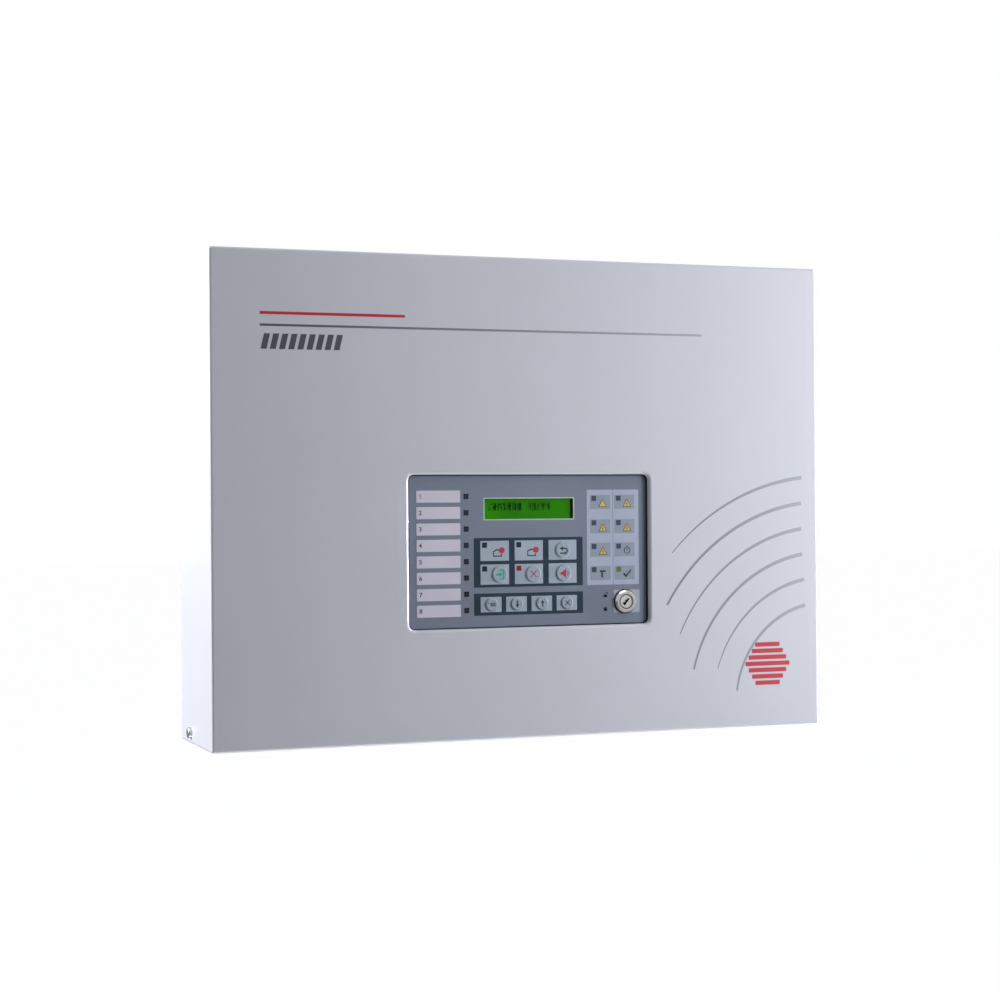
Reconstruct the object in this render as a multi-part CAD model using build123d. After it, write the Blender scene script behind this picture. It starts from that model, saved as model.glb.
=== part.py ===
from build123d import *

import os

# Wall-mounted fire alarm control panel, in millimetres.
#
# Frame: X runs to the right as the panel is read, Z up, and -Y out of the wall towards the reader.
# The origin is the centre of the rear (wall) face, on the wall plane.  Most places below are given
# as a depth, which is the distance out from the wall, so Y is minus the depth.
#
# The panel is a shallow steel tray screwed to the wall, and a deep steel cover that hangs on two
# pins along the tray's top edge and is held at the bottom by one screw in each side.  The cover
# carries the display assembly in a pressed recess.  The tray carries the main board, the power
# supply, the mains terminals and two sealed batteries.

# ---------------------------------------------------------------- driving dimensions
WIDTH, HEIGHT, DEPTH = 440.0, 324.0, 90.0
TOP, BOTTOM = HEIGHT / 2, -HEIGHT / 2
SHEET = 1.2                       # steel sheet thickness
FOLD_R, FOLD_INNER_R = 1.8, 0.6   # outside and inside of the cover's folds
SIDES = (-1, 1)
OVER = 1.0                        # how far a cut runs past the face it opens
TOUCH = 0.02                      # air between pieces that rest on each other
LOOSE = 0.05                      # air between pieces that slide together

# cover hinge: the top rear corner of each side wall is rounded about this axis
WALL_GAP = 0.5                    # cover stands this far off the wall
HINGE_DEPTH, HINGE_Z = 5.4, TOP - 5.0
HINGE_X = 200.0
TOP_WALL_REAR = HINGE_DEPTH + 1.0  # the cover's top wall starts here
PIN_R, KNUCKLE_BORE, KNUCKLE_R = 1.5, 1.55, 3.4
PIN_HEAD_R, PIN_HEAD_T = 2.6, 1.4
EAR_INNER_X, EAR_OUTER_X = HINGE_X - 5.2, HINGE_X - 4.0
EAR_ROOT_Z = HINGE_Z - 14.0
HOOK_T, HOOK_FOOT_L = 2.0, 13.0
HOOK_REAR, HOOK_FRONT = 9.5, 24.0
HOOK_DROP, HOOK_FOOT_T, HOOK_MOUTH = 3.0, 1.5, 6.0
NOTCH_HALF, NOTCH_DROP = 4.0, 9.0

# tray
TRAY_HALF = 217.9
TRAY_TOP, TRAY_BOTTOM = HINGE_Z - 2.5, BOTTOM + 4.0
TRAY_SIDE, TRAY_SIDE_TOP = 20.0, 130.0
TRAY_LIP_HALF, TRAY_LIP = 205.0, 30.0
EAR_DEPTH, EAR_TOP, EAR_DROP = 36.0, BOTTOM + 34.0, 0.5
WALL_HOLE_X, WALL_HOLE_Z, WALL_HOLE_R = 180.0, (-148.0, 140.0), 3.0
GROMMET_R, GROMMET_Z = 10.0, 140.0
GROMMET_LIP, GROMMET_T, GROMMET_DISH, GROMMET_EDGE = 2.0, 2.0, 2.2, 1.2
MEMBRANE_T, MEMBRANE_BOSS = 1.4, 0.38     # the boss radius is a share of the grommet's
GROMMET_XS = [-140.0 + 40.0 * k for k in range(8)]
MAINS_ENTRY, MAINS_ENTRY_R = (82.0, -99.0), 8.0
VENT_COUNT, VENT_PITCH, VENT_L, VENT_W = 9, 14.0, 9.0, 3.0
VENT_DEPTHS = (10.0, 18.0)

# cover screws
SCREW_DEPTH, SCREW_Z = 28.0, BOTTOM + 7.5
SCREW_SLOT_R, SCREW_SLOT_UP, SCREW_CLEAR_R = 2.3, 3.2, 2.2
SCREW_L, SCREW_NUT = 8.4, (3.5, 6.7)

# screw sizes: head radius, head height, shank radius
SMALL_SCREW = (2.75, 2.0, 1.45)
MEDIUM_SCREW = (3.4, 2.2, 1.7)
LARGE_SCREW = (3.6, 2.4, 1.95)
COVER_SCREW = (3.8, 2.4, 1.95)
CLAMP_SCREW = (3.4, 2.4, 1.9)

# display recess and its stack, front to back
RECESS_X, RECESS_Z = 0.5, -35.75
RECESS_W, RECESS_H, RECESS_CORNER = 174.0, 103.0, 4.0
RECESS_DEPTH, RIM_R = 4.5, 2.4
FLOOR_FRONT = DEPTH - RECESS_DEPTH
FLOOR_BACK = FLOOR_FRONT - SHEET
SEAL_W, SEAL_T = 0.6, 2.0         # black seal between the overlay and the recess wall
OVERLAY_T = 0.6
OVERLAY_FRONT = FLOOR_FRONT + OVERLAY_T
PANEL_FRONT, PANEL_BACK = 73.8, 72.2      # display board faces
PANEL_W, PANEL_H, PANEL_CORNER = 166.0, 96.0, 2.0
SPACER_ACROSS, SPACER_ROOT, PANEL_SCREW_L = 5.5, 2.0, 8.0
PANEL_FIXINGS = ((-78.5, 8.2), (79.3, 8.2), (-78.5, -79.6), (52.0, -79.6), (0.0, -80.2))

# what the overlay shows
LCD_X, LCD_Z, LCD_W, LCD_H = 0.2, -7.35, 64.6, 13.8
LCD_BEZEL_FRONT, LCD_BEZEL_BACK = FLOOR_BACK - 0.4, FLOOR_BACK - 7.7
LCD_BEZEL_W, LCD_BEZEL_H, LCD_BEZEL_T, LCD_BEZEL_CORNER = 71.2, 26.4, 0.6, 0.8
LCD_GAP = 0.2                     # round the glass, inside the bezel
LCD_GLASS_W, LCD_GLASS_H = 68.8, 24.0
LCD_VIEW_W, LCD_VIEW_H = 65.2, 14.8
LCD_BOARD_W, LCD_BOARD_H, LCD_BOARD_T = 80.0, 36.0, 1.6
LCD_FIXING_X, LCD_FIXING_Z, LCD_FIXING_R = 37.5, 15.5, 1.25
LCD_PINS_X0, LCD_PINS_X1, LCD_PINS_Z0, LCD_PINS_Z1 = LCD_X - 32.0, LCD_X + 8.0, LCD_Z + 14.0, LCD_Z + 16.5
ZONE_COUNT, ZONE_PITCH, ZONE_TOP_Z = 8, 10.91, 1.2
LABEL_X, LABEL_W, LABEL_H, LABEL_T, LABEL_CORNER = -64.9, 30.8, 8.0, 0.15, 0.4
ZONE_LED_X = -45.3
STATUS_LED_XS = (47.8, 66.2)
STATUS_LED_ZS = (-0.6, -17.4, -33.6, -49.5)
ALARM_LEDS = ((-32.3, -31.6), (-7.6, -31.6), (-32.3, -47.5), (-7.6, -47.5))
LED_R, LED_FLANGE_R, LED_FLANGE_T, LED_HOLE_R = 1.5, 2.0, 3.0, 1.9
LED_DOME, LED_SHY = 0.9, 0.3      # tip rounding, and how far it stops short of the overlay

# key name: (x, z, radius of the raised dome)
KEYS = {
    "key_reset": (24.6, -35.6, 5.5),
    "key_evacuate": (-21.6, -51.5, 5.5),
    "key_disable": (2.8, -51.5, 5.5),
    "key_sounder": (25.0, -51.5, 5.5),
    "key_enter": (-27.5, -71.6, 4.4),
    "key_down": (-9.2, -71.6, 4.4),
    "key_up": (9.2, -71.6, 4.4),
    "key_cancel": (27.5, -71.6, 4.4),
}
KEY_TRAVEL = 0.5
KEY_GAP = 0.1                     # left between stem and switch when fully pressed
KEY_CLEARANCE = 0.08              # round the dome, in the overlay
DOME_T, DOME_EDGE_R, STEM_R, STEM_HOLE_R = 0.9, 0.7, 1.8, 2.2
STEM_END = FLOOR_BACK - 0.4
SWITCH_W, SWITCH_T, SWITCH_BUTTON_R = 6.0, 3.5, 1.7

# key switch
LOCK_X, LOCK_Z = 70.8, -71.7
LOCK_FACE, LOCK_TAIL = OVERLAY_FRONT + 2.5, 66.0
LOCK_COLLAR_R, LOCK_COLLAR_EDGE = 7.75, 1.1
LOCK_BARREL_R, LOCK_HOLE_R, LOCK_BORE_R, LOCK_PLUG_R = 5.9, 6.1, 4.3, 4.25
LOCK_BOARD_HOLE_R = 9.0
LOCK_NUT_ACROSS, LOCK_NUT_BORE_R, LOCK_NUT_T = 16.0, 5.95, 3.2
KEYWAY_HALF, KEYWAY_WIDE_HALF, KEYWAY_L, KEYWAY_DEEP = 0.55, 2.9, 15.0, 16.0
KEY_ANGLE = 45.0
PLUG_SHY = 0.3                    # the plug's face sits this far inside the collar
CAM_REAR, CAM_FRONT, CAM_R, CAM_HALF, CAM_REACH = LOCK_TAIL - 3.6, LOCK_TAIL - 1.5, 4.2, 2.0, 7.4
SWITCH_BOX_X, SWITCH_BOX_Z, SWITCH_BOX_OUT = LOCK_X - 6.4, LOCK_Z + 9.6, 11.0
SWITCH_BOX_W, SWITCH_BOX_H, SWITCH_PIN_HALF, SWITCH_PIN_L = 12.8, 6.0, 1.2, 1.6

# main board
BOARD_W, BOARD_H, BOARD_Z = 310.0, 106.0, 71.0
BOARD_BACK, BOARD_FRONT = 11.2, 12.8
BOARD_FIXINGS = [(x, z) for x in (-150.0, 150.0) for z in (23.0, 117.0)] + [(-36.0, 50.0), (62.0, 50.0)]
BOARD_CORNER, FIXING_HOLE_R, THREAD_R = 2.5, 1.6, 1.5
STANDOFF_ACROSS, THREAD_FLOOR, BOARD_SCREW_END = 6.0, 3.0, 5.0
WAY = 5.08                        # terminal pitch
WAYS_PER_BLOCK, BLOCK_COUNT, BLOCK_PITCH = 6, 9, 32.0
TERMINAL_Z0, TERMINAL_Z1, TERMINAL_H = 110.0, 120.5, 14.0
TERMINAL_WELL_R, TERMINAL_WELL_DEEP, TERMINAL_SCREW_R = 1.95, 9.0, 1.85
TERMINAL_SLOPE, TERMINAL_MOUTH_HALF = 1.8, 1.7
TERMINAL_SCREW_TOP, TERMINAL_SCREW_END, SCREW_SLOT_DEEP, SCREW_SLOT_HALF = 2.2, 8.0, 0.8, 0.3
RELAY_COUNT, RELAY_X0, RELAY_PITCH = 5, -128.0, 23.0
RELAY_HALF, RELAY_T, RELAY_CORNER, RELAY_ZS = 9.5, 15.5, 0.8, (88.0, 104.0)
PIN_T, PIN_REACH = 0.3, 1.0       # chip leads
CAN_EDGE, CAN_GROOVE_DEEP = 0.8, 0.4
CAN_GROOVE = (2.2, 3.2)           # above the board
FUSE_XS = [80.0 + 13.0 * k for k in range(5)]
FUSE_Z0, FUSE_Z1, FUSE_DEPTH, FUSE_R = 26.0, 46.0, 19.0, 2.5
CLIP_IN, CLIP_HALF, CLIP_HALF_L, CLIP_OUT, CLIP_MOUTH_HALF = 2.5, 3.3, 2.0, 2.2, 1.9
SINK_X0, SINK_X1, SINK_Z = -136.0, -84.0, 26.0
SINK_FINS, SINK_FIN_T, SINK_BASE, SINK_TALL, SINK_OUT = 9, 1.8, 3.0, 18.0, 24.0
TRANSISTOR_XS = (-120.0, -100.0)
TRANSISTOR_HALF, TRANSISTOR_T, TAB_METAL_T = 5.0, 4.5, 1.4
TRANSISTOR_FOOT, TRANSISTOR_MIDDLE, TRANSISTOR_TOP = 3.0, 12.0, 19.0      # above the board
LEG_HALF, LEG_T, LEG_DROP = 3.2, 0.6, 2.5
BATTERY_TERMINAL_XS, SUPPLY_TERMINAL_XS = (-68.0, -59.0), (43.0, 52.0)
SOCKET_FOOT_Z, SOCKET_TOP_Z, SOCKET_OUT = 22.0, 32.0, 12.0
SOCKET_END, SOCKET_WELL_R, SOCKET_WELL_DEEP, SOCKET_MOUTH_HALF = 4.5, 2.2, 4.0, 2.6

# ribbon cable and its box headers
RIBBON_X, RIBBON_W, RIBBON_T = 14.0, 33.0, 0.9
RIBBON_FOLD_Z = 52.0
SOCKET_Z, PANEL_SOCKET_Z = 32.0, 4.0
SOCKET_L, SOCKET_WIDE, SOCKET_H, SOCKET_WALL, SOCKET_FLOOR = 40.0, 9.0, 9.0, 1.2, 2.0
SOCKET_KEY_HALF = 2.2             # polarising slot
PLUG_GAP, PLUG_END = 0.15, 2.0
PLUG_BASE, PLUG_TOP, CLAMP_BASE, CLAMP_TOP = 2.1, 11.5, 12.6, 15.0
RIBBON_LIFT = (PLUG_TOP + CLAMP_BASE) / 2

# batteries, standing on end with their lids facing the middle
BATTERY_L, BATTERY_T, BATTERY_H, LID_T = 151.0, 65.0, 94.0, 9.0
BATTERY_OUT = 200.0               # outer face, distance from the middle
BATTERY_Z0 = -138.0
BATTERY_REAR = 2.0
LID_FACE = BATTERY_OUT - BATTERY_H
LID_INSET = 0.8
CASE_EDGE, LID_EDGE = 2.0, 1.6
LID_STRIP = (30.0, 52.0)          # depths of the raised vent strip
LID_STRIP_T, LID_STRIP_IN, LID_STRIP_EDGE = 1.2, 12.0, 1.5
TAB_ZS, TAB_DEPTH = (-116.0, -8.0), 15.0
TAB_WELL, TAB_WELL_HALF_W, TAB_WELL_HALF_L = 4.5, 8.0, 9.0
POST_IN, POST_HALF_W, POST_HALF_L = 3.0, 3.4, 4.0
BLADE_OUT, BLADE_HALF_W, BLADE_HALF_T = 3.4, 2.4, 0.4
BOOT_BACK, BOOT_FRONT, BOOT_HALF_W, BOOT_HALF_T, BOOT_EDGE = 13.0, 2.4, 3.6, 2.3, 1.2
BOOT_GAP, BOOT_MOUTH = 0.1, 4.0
SHELF_X0, SHELF_X1, SHELF_OUT, SHELF_T = 100.5, 212.0, 60.0, 1.25
SHELF_DROP, SHELF_FRONT_LIP = 17.0, 8.0
SHELF_SCREWS, SHELF_SCREW_Z = (110.0, 206.0), -149.0
STRAP_T, STRAP_Z0, STRAP_Z1 = 1.5, -74.0, -54.0
STRAP_LID_GAP, STRAP_CASE_GAP, STRAP_FRONT_GAP = 1.6, 0.6, 0.4
STRAP_FOOT = 13.0
STRAP_SCREWS, STRAP_SCREW_Z = (LID_FACE - 9.0, BATTERY_OUT + 8.0), (STRAP_Z0 + STRAP_Z1) / 2
SCREW_HOLE_R = 2.1

# power supply
SUPPLY_X0, SUPPLY_X1, SUPPLY_Z0, SUPPLY_Z1 = -68.0, 61.0, -152.0, -54.0
SUPPLY_REAR, SUPPLY_H, SUPPLY_WALL, SUPPLY_EDGE = 1.3, 38.0, 1.0, 1.2
SUPPLY_FEET = ((SUPPLY_X0 - 5.0, -76.0), (SUPPLY_X0 - 5.0, -130.0),
               (20.0, SUPPLY_Z1 + 5.0), (-30.0, SUPPLY_Z1 + 5.0))
FOOT_HALF, FOOT_L, FOOT_HOLE_R = 7.0, 10.0, 1.85
SLOT_COLUMNS, SLOT_ROWS, SLOT_PITCH_X, SLOT_PITCH_Z = 6, 11, 17.0, 7.6
SLOT_X, SLOT_Z, SLOT_L, SLOT_W = SUPPLY_X0 + 13.0, SUPPLY_Z0 + 11.0, 12.0, 3.2
GRILLE_COUNT, GRILLE_X, GRILLE_PITCH, GRILLE_HALF = 12, SUPPLY_X0 + 10.0, 8.5, 1.6
GRILLE_DEPTHS = (12.0, 32.0)
STRIP_W, STRIP_IN, STRIP_WAYS, STRIP_PITCH = 13.0, 1.2, 7, 12.0
STRIP_REAR, STRIP_FLOOR, STRIP_FRONT, STRIP_RIB_HALF = 16.0, 24.0, 33.0, 0.8
CLAMP_FRONT, CLAMP_HALF = STRIP_FLOOR + 1.4, 4.0

# mains terminal block and its hinged fuse lever
BLOCK_X0, BLOCK_X1, BLOCK_Z0, BLOCK_Z1, MAINS_H = 71.0, 99.0, -155.0, -127.0, 30.0
BLOCK_MIDDLE = (BLOCK_Z0 + BLOCK_Z1) / 2
MAINS_WAYS, MAINS_WELL_R, MAINS_SCREW_R = (86.5, 93.5), 2.2, 2.0
MAINS_WELL_REAR, MAINS_SCREW_FRONT = 20.0, 25.0
MAINS_EDGE, MAINS_MOUTH, MAINS_MOUTH_DEEP = 2.0, (6.0, 14.0), 6.0
LEVER_X0, LEVER_X1, LEVER_SIDE_GAP, LEVER_SLOT_REAR = 73.5, 81.5, 0.2, 18.0
LEVER_PIVOT_DEPTH, LEVER_PIVOT_Z, LEVER_PIVOT_R, LEVER_BORE_R, LEVER_EYE_R = 25.0, -149.0, 1.5, 1.55, 4.0
LEVER_REAR, LEVER_FRONT, LEVER_TOP = 21.0, 30.9, BLOCK_Z1 - 1.0
GRIP_REAR, GRIP_FRONT, GRIP_Z0, GRIP_Z1 = 28.0, 33.5, BLOCK_Z1 - 6.0, BLOCK_Z1 + 3.0
MAINS_FUSE_DEPTH, MAINS_FUSE_R, MAINS_FUSE_BORE_R = 27.5, 2.5, 2.6
MAINS_FUSE_FOOT = LEVER_PIVOT_Z + 4.0

# wiring and earth bonding
EARTH_X, EARTH_Z = -190.0, 92.0
EARTH_LEAD_R, LEAD_R, SUPPLY_LEAD_R = 1.5, 1.4, 1.2
STUD_R, STUD_HOLE_R, STUD_NUT_ACROSS, WASHER_R = 1.95, 2.05, 7.0, 4.5
TRAY_STUD_FRONT, COVER_STUD_L = 14.0, 12.0
LUG_DROP, LUG_HALF_T, LUG_NECK_HALF, LUG_BARREL_R = 12.0, 0.4, 1.8, 2.1
LUG_NECK, LUG_BARREL_TOP = (6.5, 3.6), 6.0        # below the stud
TRAY_NUT, COVER_NUT, WASHER = (5.2, 8.4), (5.0, 8.2), (4.62, 5.18)
LUG_DEPTHS = (4.2, DEPTH - SHEET - 4.5)
LEAD_GAP = 0.2                    # between a lead's end and its lug
LEAD_START = LID_FACE - BOOT_BACK - LEAD_GAP      # where a battery lead leaves its lug
SUPPLY_LEAD_GAP, SUPPLY_LEAD_DEPTH, MAINS_LEAD_DEPTH = 0.4, 24.6, 10.0
BOARD_LEAD_DEPTH, BOARD_LEAD_Z = 18.6, 20.5       # where a lead enters a board terminal

# sounder disc and driver packages behind the display board
BUZZER_X, BUZZER_Z, BUZZER_R, BUZZER_T, BUZZER_EDGE = -58.0, -55.0, 11.5, 9.0, 1.0
SOUND_HOLE_R, SOUND_HOLE_DEEP = 1.5, 3.0
PANEL_CHIPS = ((-62, -12), (-62, -30), (-30, -30), (52, -30), (52, -12))
PANEL_CHIP_T, PANEL_CHIP_HALF_W, PANEL_CHIP_HALF_L = 2.4, 5.0, 8.0


# ---------------------------------------------------------------- helpers
def block(x0, x1, d0, d1, z0, z1):
    """Box between two X values, two depths and two Z values."""
    size = (abs(x1 - x0), abs(d1 - d0), abs(z1 - z0))
    return Pos((x0 + x1) / 2, -(d0 + d1) / 2, (z0 + z1) / 2) * Box(*size)


def slab(sketch, d0, d1):
    """A sketch drawn in X and Z, given thickness from depth d0 out to depth d1."""
    return extrude(Plane.XZ.offset(d0) * sketch, amount=d1 - d0)


def rod(x, z, d0, d1, r):
    """Round bar pointing out of the wall."""
    return slab(Pos(x, z) * Circle(r), d0, d1)


def rod_x(x0, x1, depth, z, r):
    """Round bar along X."""
    return Pos((x0 + x1) / 2, -depth, z) * Rot(0, 90, 0) * Cylinder(r, abs(x1 - x0))


def rod_z(x, depth, z0, z1, r):
    """Round bar along Z."""
    return Pos(x, -depth, (z0 + z1) / 2) * Cylinder(r, abs(z1 - z0))


def hexagon(x, z, d0, d1, across, bore_r=0.0):
    """Hexagonal nut or spacer pointing out of the wall."""
    sketch = Pos(x, z) * RegularPolygon(across / 2, 6, major_radius=False)
    if bore_r:
        sketch -= Pos(x, z) * Circle(bore_r)
    return slab(sketch, d0, d1)


def rounded(x, z, w, h, r):
    """Rounded rectangle sketch centred on x, z."""
    return Pos(x, z) * RectangleRounded(w, h, r)


def recess_outline(inset):
    """The recess outline, drawn in by `inset` all round."""
    return rounded(RECESS_X, RECESS_Z, RECESS_W - 2 * inset, RECESS_H - 2 * inset, RECESS_CORNER - inset)


def front_edges(shape):
    """Edges round the face of a shape that is nearest the reader."""
    return shape.faces().sort_by(Axis.Y)[0].edges()


def wire(points, r):
    """Round wire in straight runs with round bends, through (x, depth, z) points."""
    path = Polyline([Vector(x, -d, z) for x, d, z in points])
    start = Plane(origin=path @ 0, z_dir=path % 0)
    return sweep(start * Circle(r), path=path, transition=Transition.ROUND)


def machine_screw(x, z, seat, shank_end, size):
    """Pan-head screw with a cross recess; its head stands out from depth `seat`."""
    head_r, head_h, shank_r = size
    head = rod(x, z, seat, seat + head_h, head_r)
    head = fillet(front_edges(head), head_h * 0.4)
    body = head + rod(x, z, shank_end, seat, shank_r)
    arm, slot, deep = head_r * 0.62, head_r * 0.2, seat + head_h * 0.45
    cross = block(x - arm, x + arm, deep, seat + head_h + OVER, z - slot, z + slot)
    cross += block(x - slot, x + slot, deep, seat + head_h + OVER, z - arm, z + arm)
    return body - cross


def mirrored(shape):
    """A shape and its mirror image across the middle of the panel."""
    return [shape, mirror(shape, Plane.YZ)]


# ---------------------------------------------------------------- tray and hinge
def back_tray():
    body = block(-TRAY_HALF, TRAY_HALF, 0, SHEET, TRAY_BOTTOM, TRAY_TOP)
    for side in SIDES:
        body += tray_side(side)
        body += hinge_ear(side)
    body += block(-TRAY_LIP_HALF, TRAY_LIP_HALF, 0, TRAY_LIP, TRAY_BOTTOM, TRAY_BOTTOM + SHEET)
    for x in GROMMET_XS:
        body -= rod(x, GROMMET_Z, -OVER, SHEET + OVER, GROMMET_R)
    body -= rod(*MAINS_ENTRY, -OVER, SHEET + OVER, MAINS_ENTRY_R)
    for side in SIDES:
        for z in WALL_HOLE_Z:
            body -= rod(side * WALL_HOLE_X, z, -OVER, SHEET + OVER, WALL_HOLE_R)
        # the cover's hinge hooks turn inside these two notches
        x = side * (HINGE_X + HOOK_T / 2)
        body -= block(x - NOTCH_HALF, x + NOTCH_HALF, -OVER, SHEET + OVER,
                      HINGE_Z - NOTCH_DROP, TRAY_TOP + OVER)
    return body - tray_vents()


def tray_side(side):
    """Side flange, deeper at the bottom, with an open slot that frees the cover's screw forwards."""
    outer, inner = side * TRAY_HALF, side * (TRAY_HALF - SHEET)
    flange = block(inner, outer, 0, TRAY_SIDE, TRAY_BOTTOM, TRAY_SIDE_TOP)
    flange += block(inner, outer, 0, EAR_DEPTH, TRAY_BOTTOM - EAR_DROP, EAR_TOP)
    inner, outer = inner - side * OVER, outer + side * OVER
    flange -= block(inner, outer, SCREW_DEPTH, EAR_DEPTH + OVER,
                    SCREW_Z - SCREW_SLOT_R, SCREW_Z + SCREW_SLOT_UP)
    return flange - rod_x(inner, outer, SCREW_DEPTH, SCREW_Z, SCREW_SLOT_R)


def tray_vents():
    """Two rows of slots in the bottom lip, under the power supply."""
    slots = []
    for k in range(VENT_COUNT):
        x = (k - (VENT_COUNT - 1) / 2) * VENT_PITCH
        for depth in VENT_DEPTHS:
            slots.append(block(x - VENT_L / 2, x + VENT_L / 2, depth, depth + VENT_W,
                               TRAY_BOTTOM - OVER, TRAY_BOTTOM + SHEET + OVER))
    return slots


def hinge_ear(side):
    """Ear bent forward from the tray that holds one hinge pin."""
    x0, x1 = side * EAR_INNER_X, side * EAR_OUTER_X
    ear = block(x0, x1, SHEET, HINGE_DEPTH + KNUCKLE_R, EAR_ROOT_Z, HINGE_Z)
    ear += rod_x(x0, x1, HINGE_DEPTH, HINGE_Z, KNUCKLE_R)
    ear += block(x0, x1, SHEET / 2, HINGE_DEPTH, EAR_ROOT_Z, TRAY_TOP)
    return ear - rod_x(x0 - side, x1 + side, HINGE_DEPTH, HINGE_Z, PIN_R + TOUCH / 2)


def hinge_pins():
    pin = rod_x(EAR_INNER_X, HINGE_X + 2 * HOOK_T, HINGE_DEPTH, HINGE_Z, PIN_R)
    pin += rod_x(EAR_INNER_X - PIN_HEAD_T, EAR_INNER_X, HINGE_DEPTH, HINGE_Z, PIN_HEAD_R)
    return mirrored(pin)


def hinge_hooks():
    """Hooks fixed under the cover's top wall; the mouth faces down so the cover lifts off."""
    x0, x1 = HINGE_X, HINGE_X + HOOK_T
    under = TOP - SHEET
    hook = rod_x(x0, x1, HINGE_DEPTH, HINGE_Z, KNUCKLE_R)
    hook += block(x0, x1, HINGE_DEPTH, HOOK_FRONT, HINGE_Z, HINGE_Z + KNUCKLE_R)
    hook += block(x0, x1, HOOK_REAR, HOOK_FRONT, HINGE_Z - HOOK_DROP, under)
    hook += block(x0, x0 + HOOK_FOOT_L, HOOK_REAR, HOOK_FRONT, under - HOOK_FOOT_T, under)
    hook -= rod_x(x0 - OVER, x1 + OVER, HINGE_DEPTH, HINGE_Z, KNUCKLE_BORE)
    hook -= block(x0 - OVER, x1 + OVER, HINGE_DEPTH - PIN_R, HINGE_DEPTH + PIN_R,
                  HINGE_Z - HOOK_MOUTH, HINGE_Z)
    return mirrored(hook)


def cable_grommets():
    """Closed-membrane rubber grommets, to be pierced when a cable goes in."""
    found = [grommet(x, GROMMET_Z, GROMMET_R) for x in GROMMET_XS]
    return found + [grommet(*MAINS_ENTRY, MAINS_ENTRY_R)]


def grommet(x, z, r):
    seat, front = SHEET + TOUCH, SHEET + GROMMET_T
    ring = rod(x, z, seat, front, r + GROMMET_LIP)
    ring += rod(x, z, TOUCH, seat, r - LOOSE)
    dish = rod(x, z, MEMBRANE_T, front + OVER, r - GROMMET_DISH)
    boss = rod(x, z, MEMBRANE_T, front + GROMMET_EDGE, r * MEMBRANE_BOSS)
    return ring - dish + fillet(front_edges(boss), GROMMET_EDGE)


# ---------------------------------------------------------------- main board
def board_standoffs():
    solids = []
    for x, z in BOARD_FIXINGS:
        spacer = hexagon(x, z, SHEET, BOARD_BACK, STANDOFF_ACROSS)
        solids.append(spacer - rod(x, z, THREAD_FLOOR, BOARD_BACK + OVER, THREAD_R))
    return solids


def main_board():
    outline = rounded(0, BOARD_Z, BOARD_W, BOARD_H, BOARD_CORNER)
    for x, z in BOARD_FIXINGS:
        outline -= Pos(x, z) * Circle(FIXING_HOLE_R)
    return slab(outline, BOARD_BACK, BOARD_FRONT)


def board_screws():
    return [machine_screw(x, z, BOARD_FRONT, BOARD_SCREW_END, SMALL_SCREW) for x, z in BOARD_FIXINGS]


def terminal_ways():
    """X of every terminal screw on the main board, block by block."""
    blocks = []
    for b in range(BLOCK_COUNT):
        centre = (b - (BLOCK_COUNT - 1) / 2) * BLOCK_PITCH
        blocks.append([centre + (k - (WAYS_PER_BLOCK - 1) / 2) * WAY for k in range(WAYS_PER_BLOCK)])
    return blocks


def terminal_blocks():
    solids = []
    top = BOARD_FRONT + TERMINAL_H
    middle = (TERMINAL_Z0 + TERMINAL_Z1) / 2
    for ways in terminal_ways():
        x0, x1 = ways[0] - WAY / 2, ways[-1] + WAY / 2
        body = block(x0, x1, BOARD_FRONT, top, TERMINAL_Z0, TERMINAL_Z1)
        body = chamfer(body.edges().filter_by(Axis.X).sort_by(Axis.Y)[:2], TERMINAL_SLOPE)
        for x in ways:
            body -= rod(x, middle, top - TERMINAL_WELL_DEEP, top + OVER, TERMINAL_WELL_R)
            body -= block(x - TERMINAL_MOUTH_HALF, x + TERMINAL_MOUTH_HALF, BOARD_FRONT + 2, BOARD_FRONT + 6,
                          middle + 1, TERMINAL_Z1 + OVER)
        solids.append(body)
    return solids


def terminal_screws():
    front = BOARD_FRONT + TERMINAL_H - TERMINAL_SCREW_TOP
    rear = BOARD_FRONT + TERMINAL_H - TERMINAL_SCREW_END
    middle = (TERMINAL_Z0 + TERMINAL_Z1) / 2
    solids = []
    for ways in terminal_ways():
        for x in ways:
            screw = rod(x, middle, rear, front, TERMINAL_SCREW_R)
            slot = block(x - TERMINAL_WELL_R, x + TERMINAL_WELL_R, front - SCREW_SLOT_DEEP, front + OVER,
                         middle - SCREW_SLOT_HALF, middle + SCREW_SLOT_HALF)
            solids.append(screw - slot)
    return solids


def power_sockets():
    """Screw terminals on the board's lower edge for the battery and supply leads."""
    solids = []
    front, middle = BOARD_FRONT + SOCKET_OUT, (SOCKET_FOOT_Z + SOCKET_TOP_Z) / 2
    for xs in (BATTERY_TERMINAL_XS, SUPPLY_TERMINAL_XS):
        body = block(xs[0] - SOCKET_END, xs[1] + SOCKET_END, BOARD_FRONT, front, SOCKET_FOOT_Z, SOCKET_TOP_Z)
        for x in xs:
            body -= rod(x, middle, front - SOCKET_WELL_DEEP, front + OVER, SOCKET_WELL_R)
            body -= block(x - SOCKET_MOUTH_HALF, x + SOCKET_MOUTH_HALF,
                          BOARD_LEAD_DEPTH - SOCKET_MOUTH_HALF, BOARD_LEAD_DEPTH + SOCKET_MOUTH_HALF,
                          SOCKET_FOOT_Z - OVER, SOCKET_FOOT_Z + 2)
        solids.append(body)
    return solids


def relays():
    """Sealed printed-circuit relays for sounders, alarm and fault outputs."""
    solids = []
    for k in range(RELAY_COUNT):
        x = RELAY_X0 + RELAY_PITCH * k
        body = block(x - RELAY_HALF, x + RELAY_HALF, BOARD_FRONT + TOUCH, BOARD_FRONT + RELAY_T, *RELAY_ZS)
        solids.append(fillet(body.edges().filter_by(Axis.Y), RELAY_CORNER))
    return solids


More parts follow.
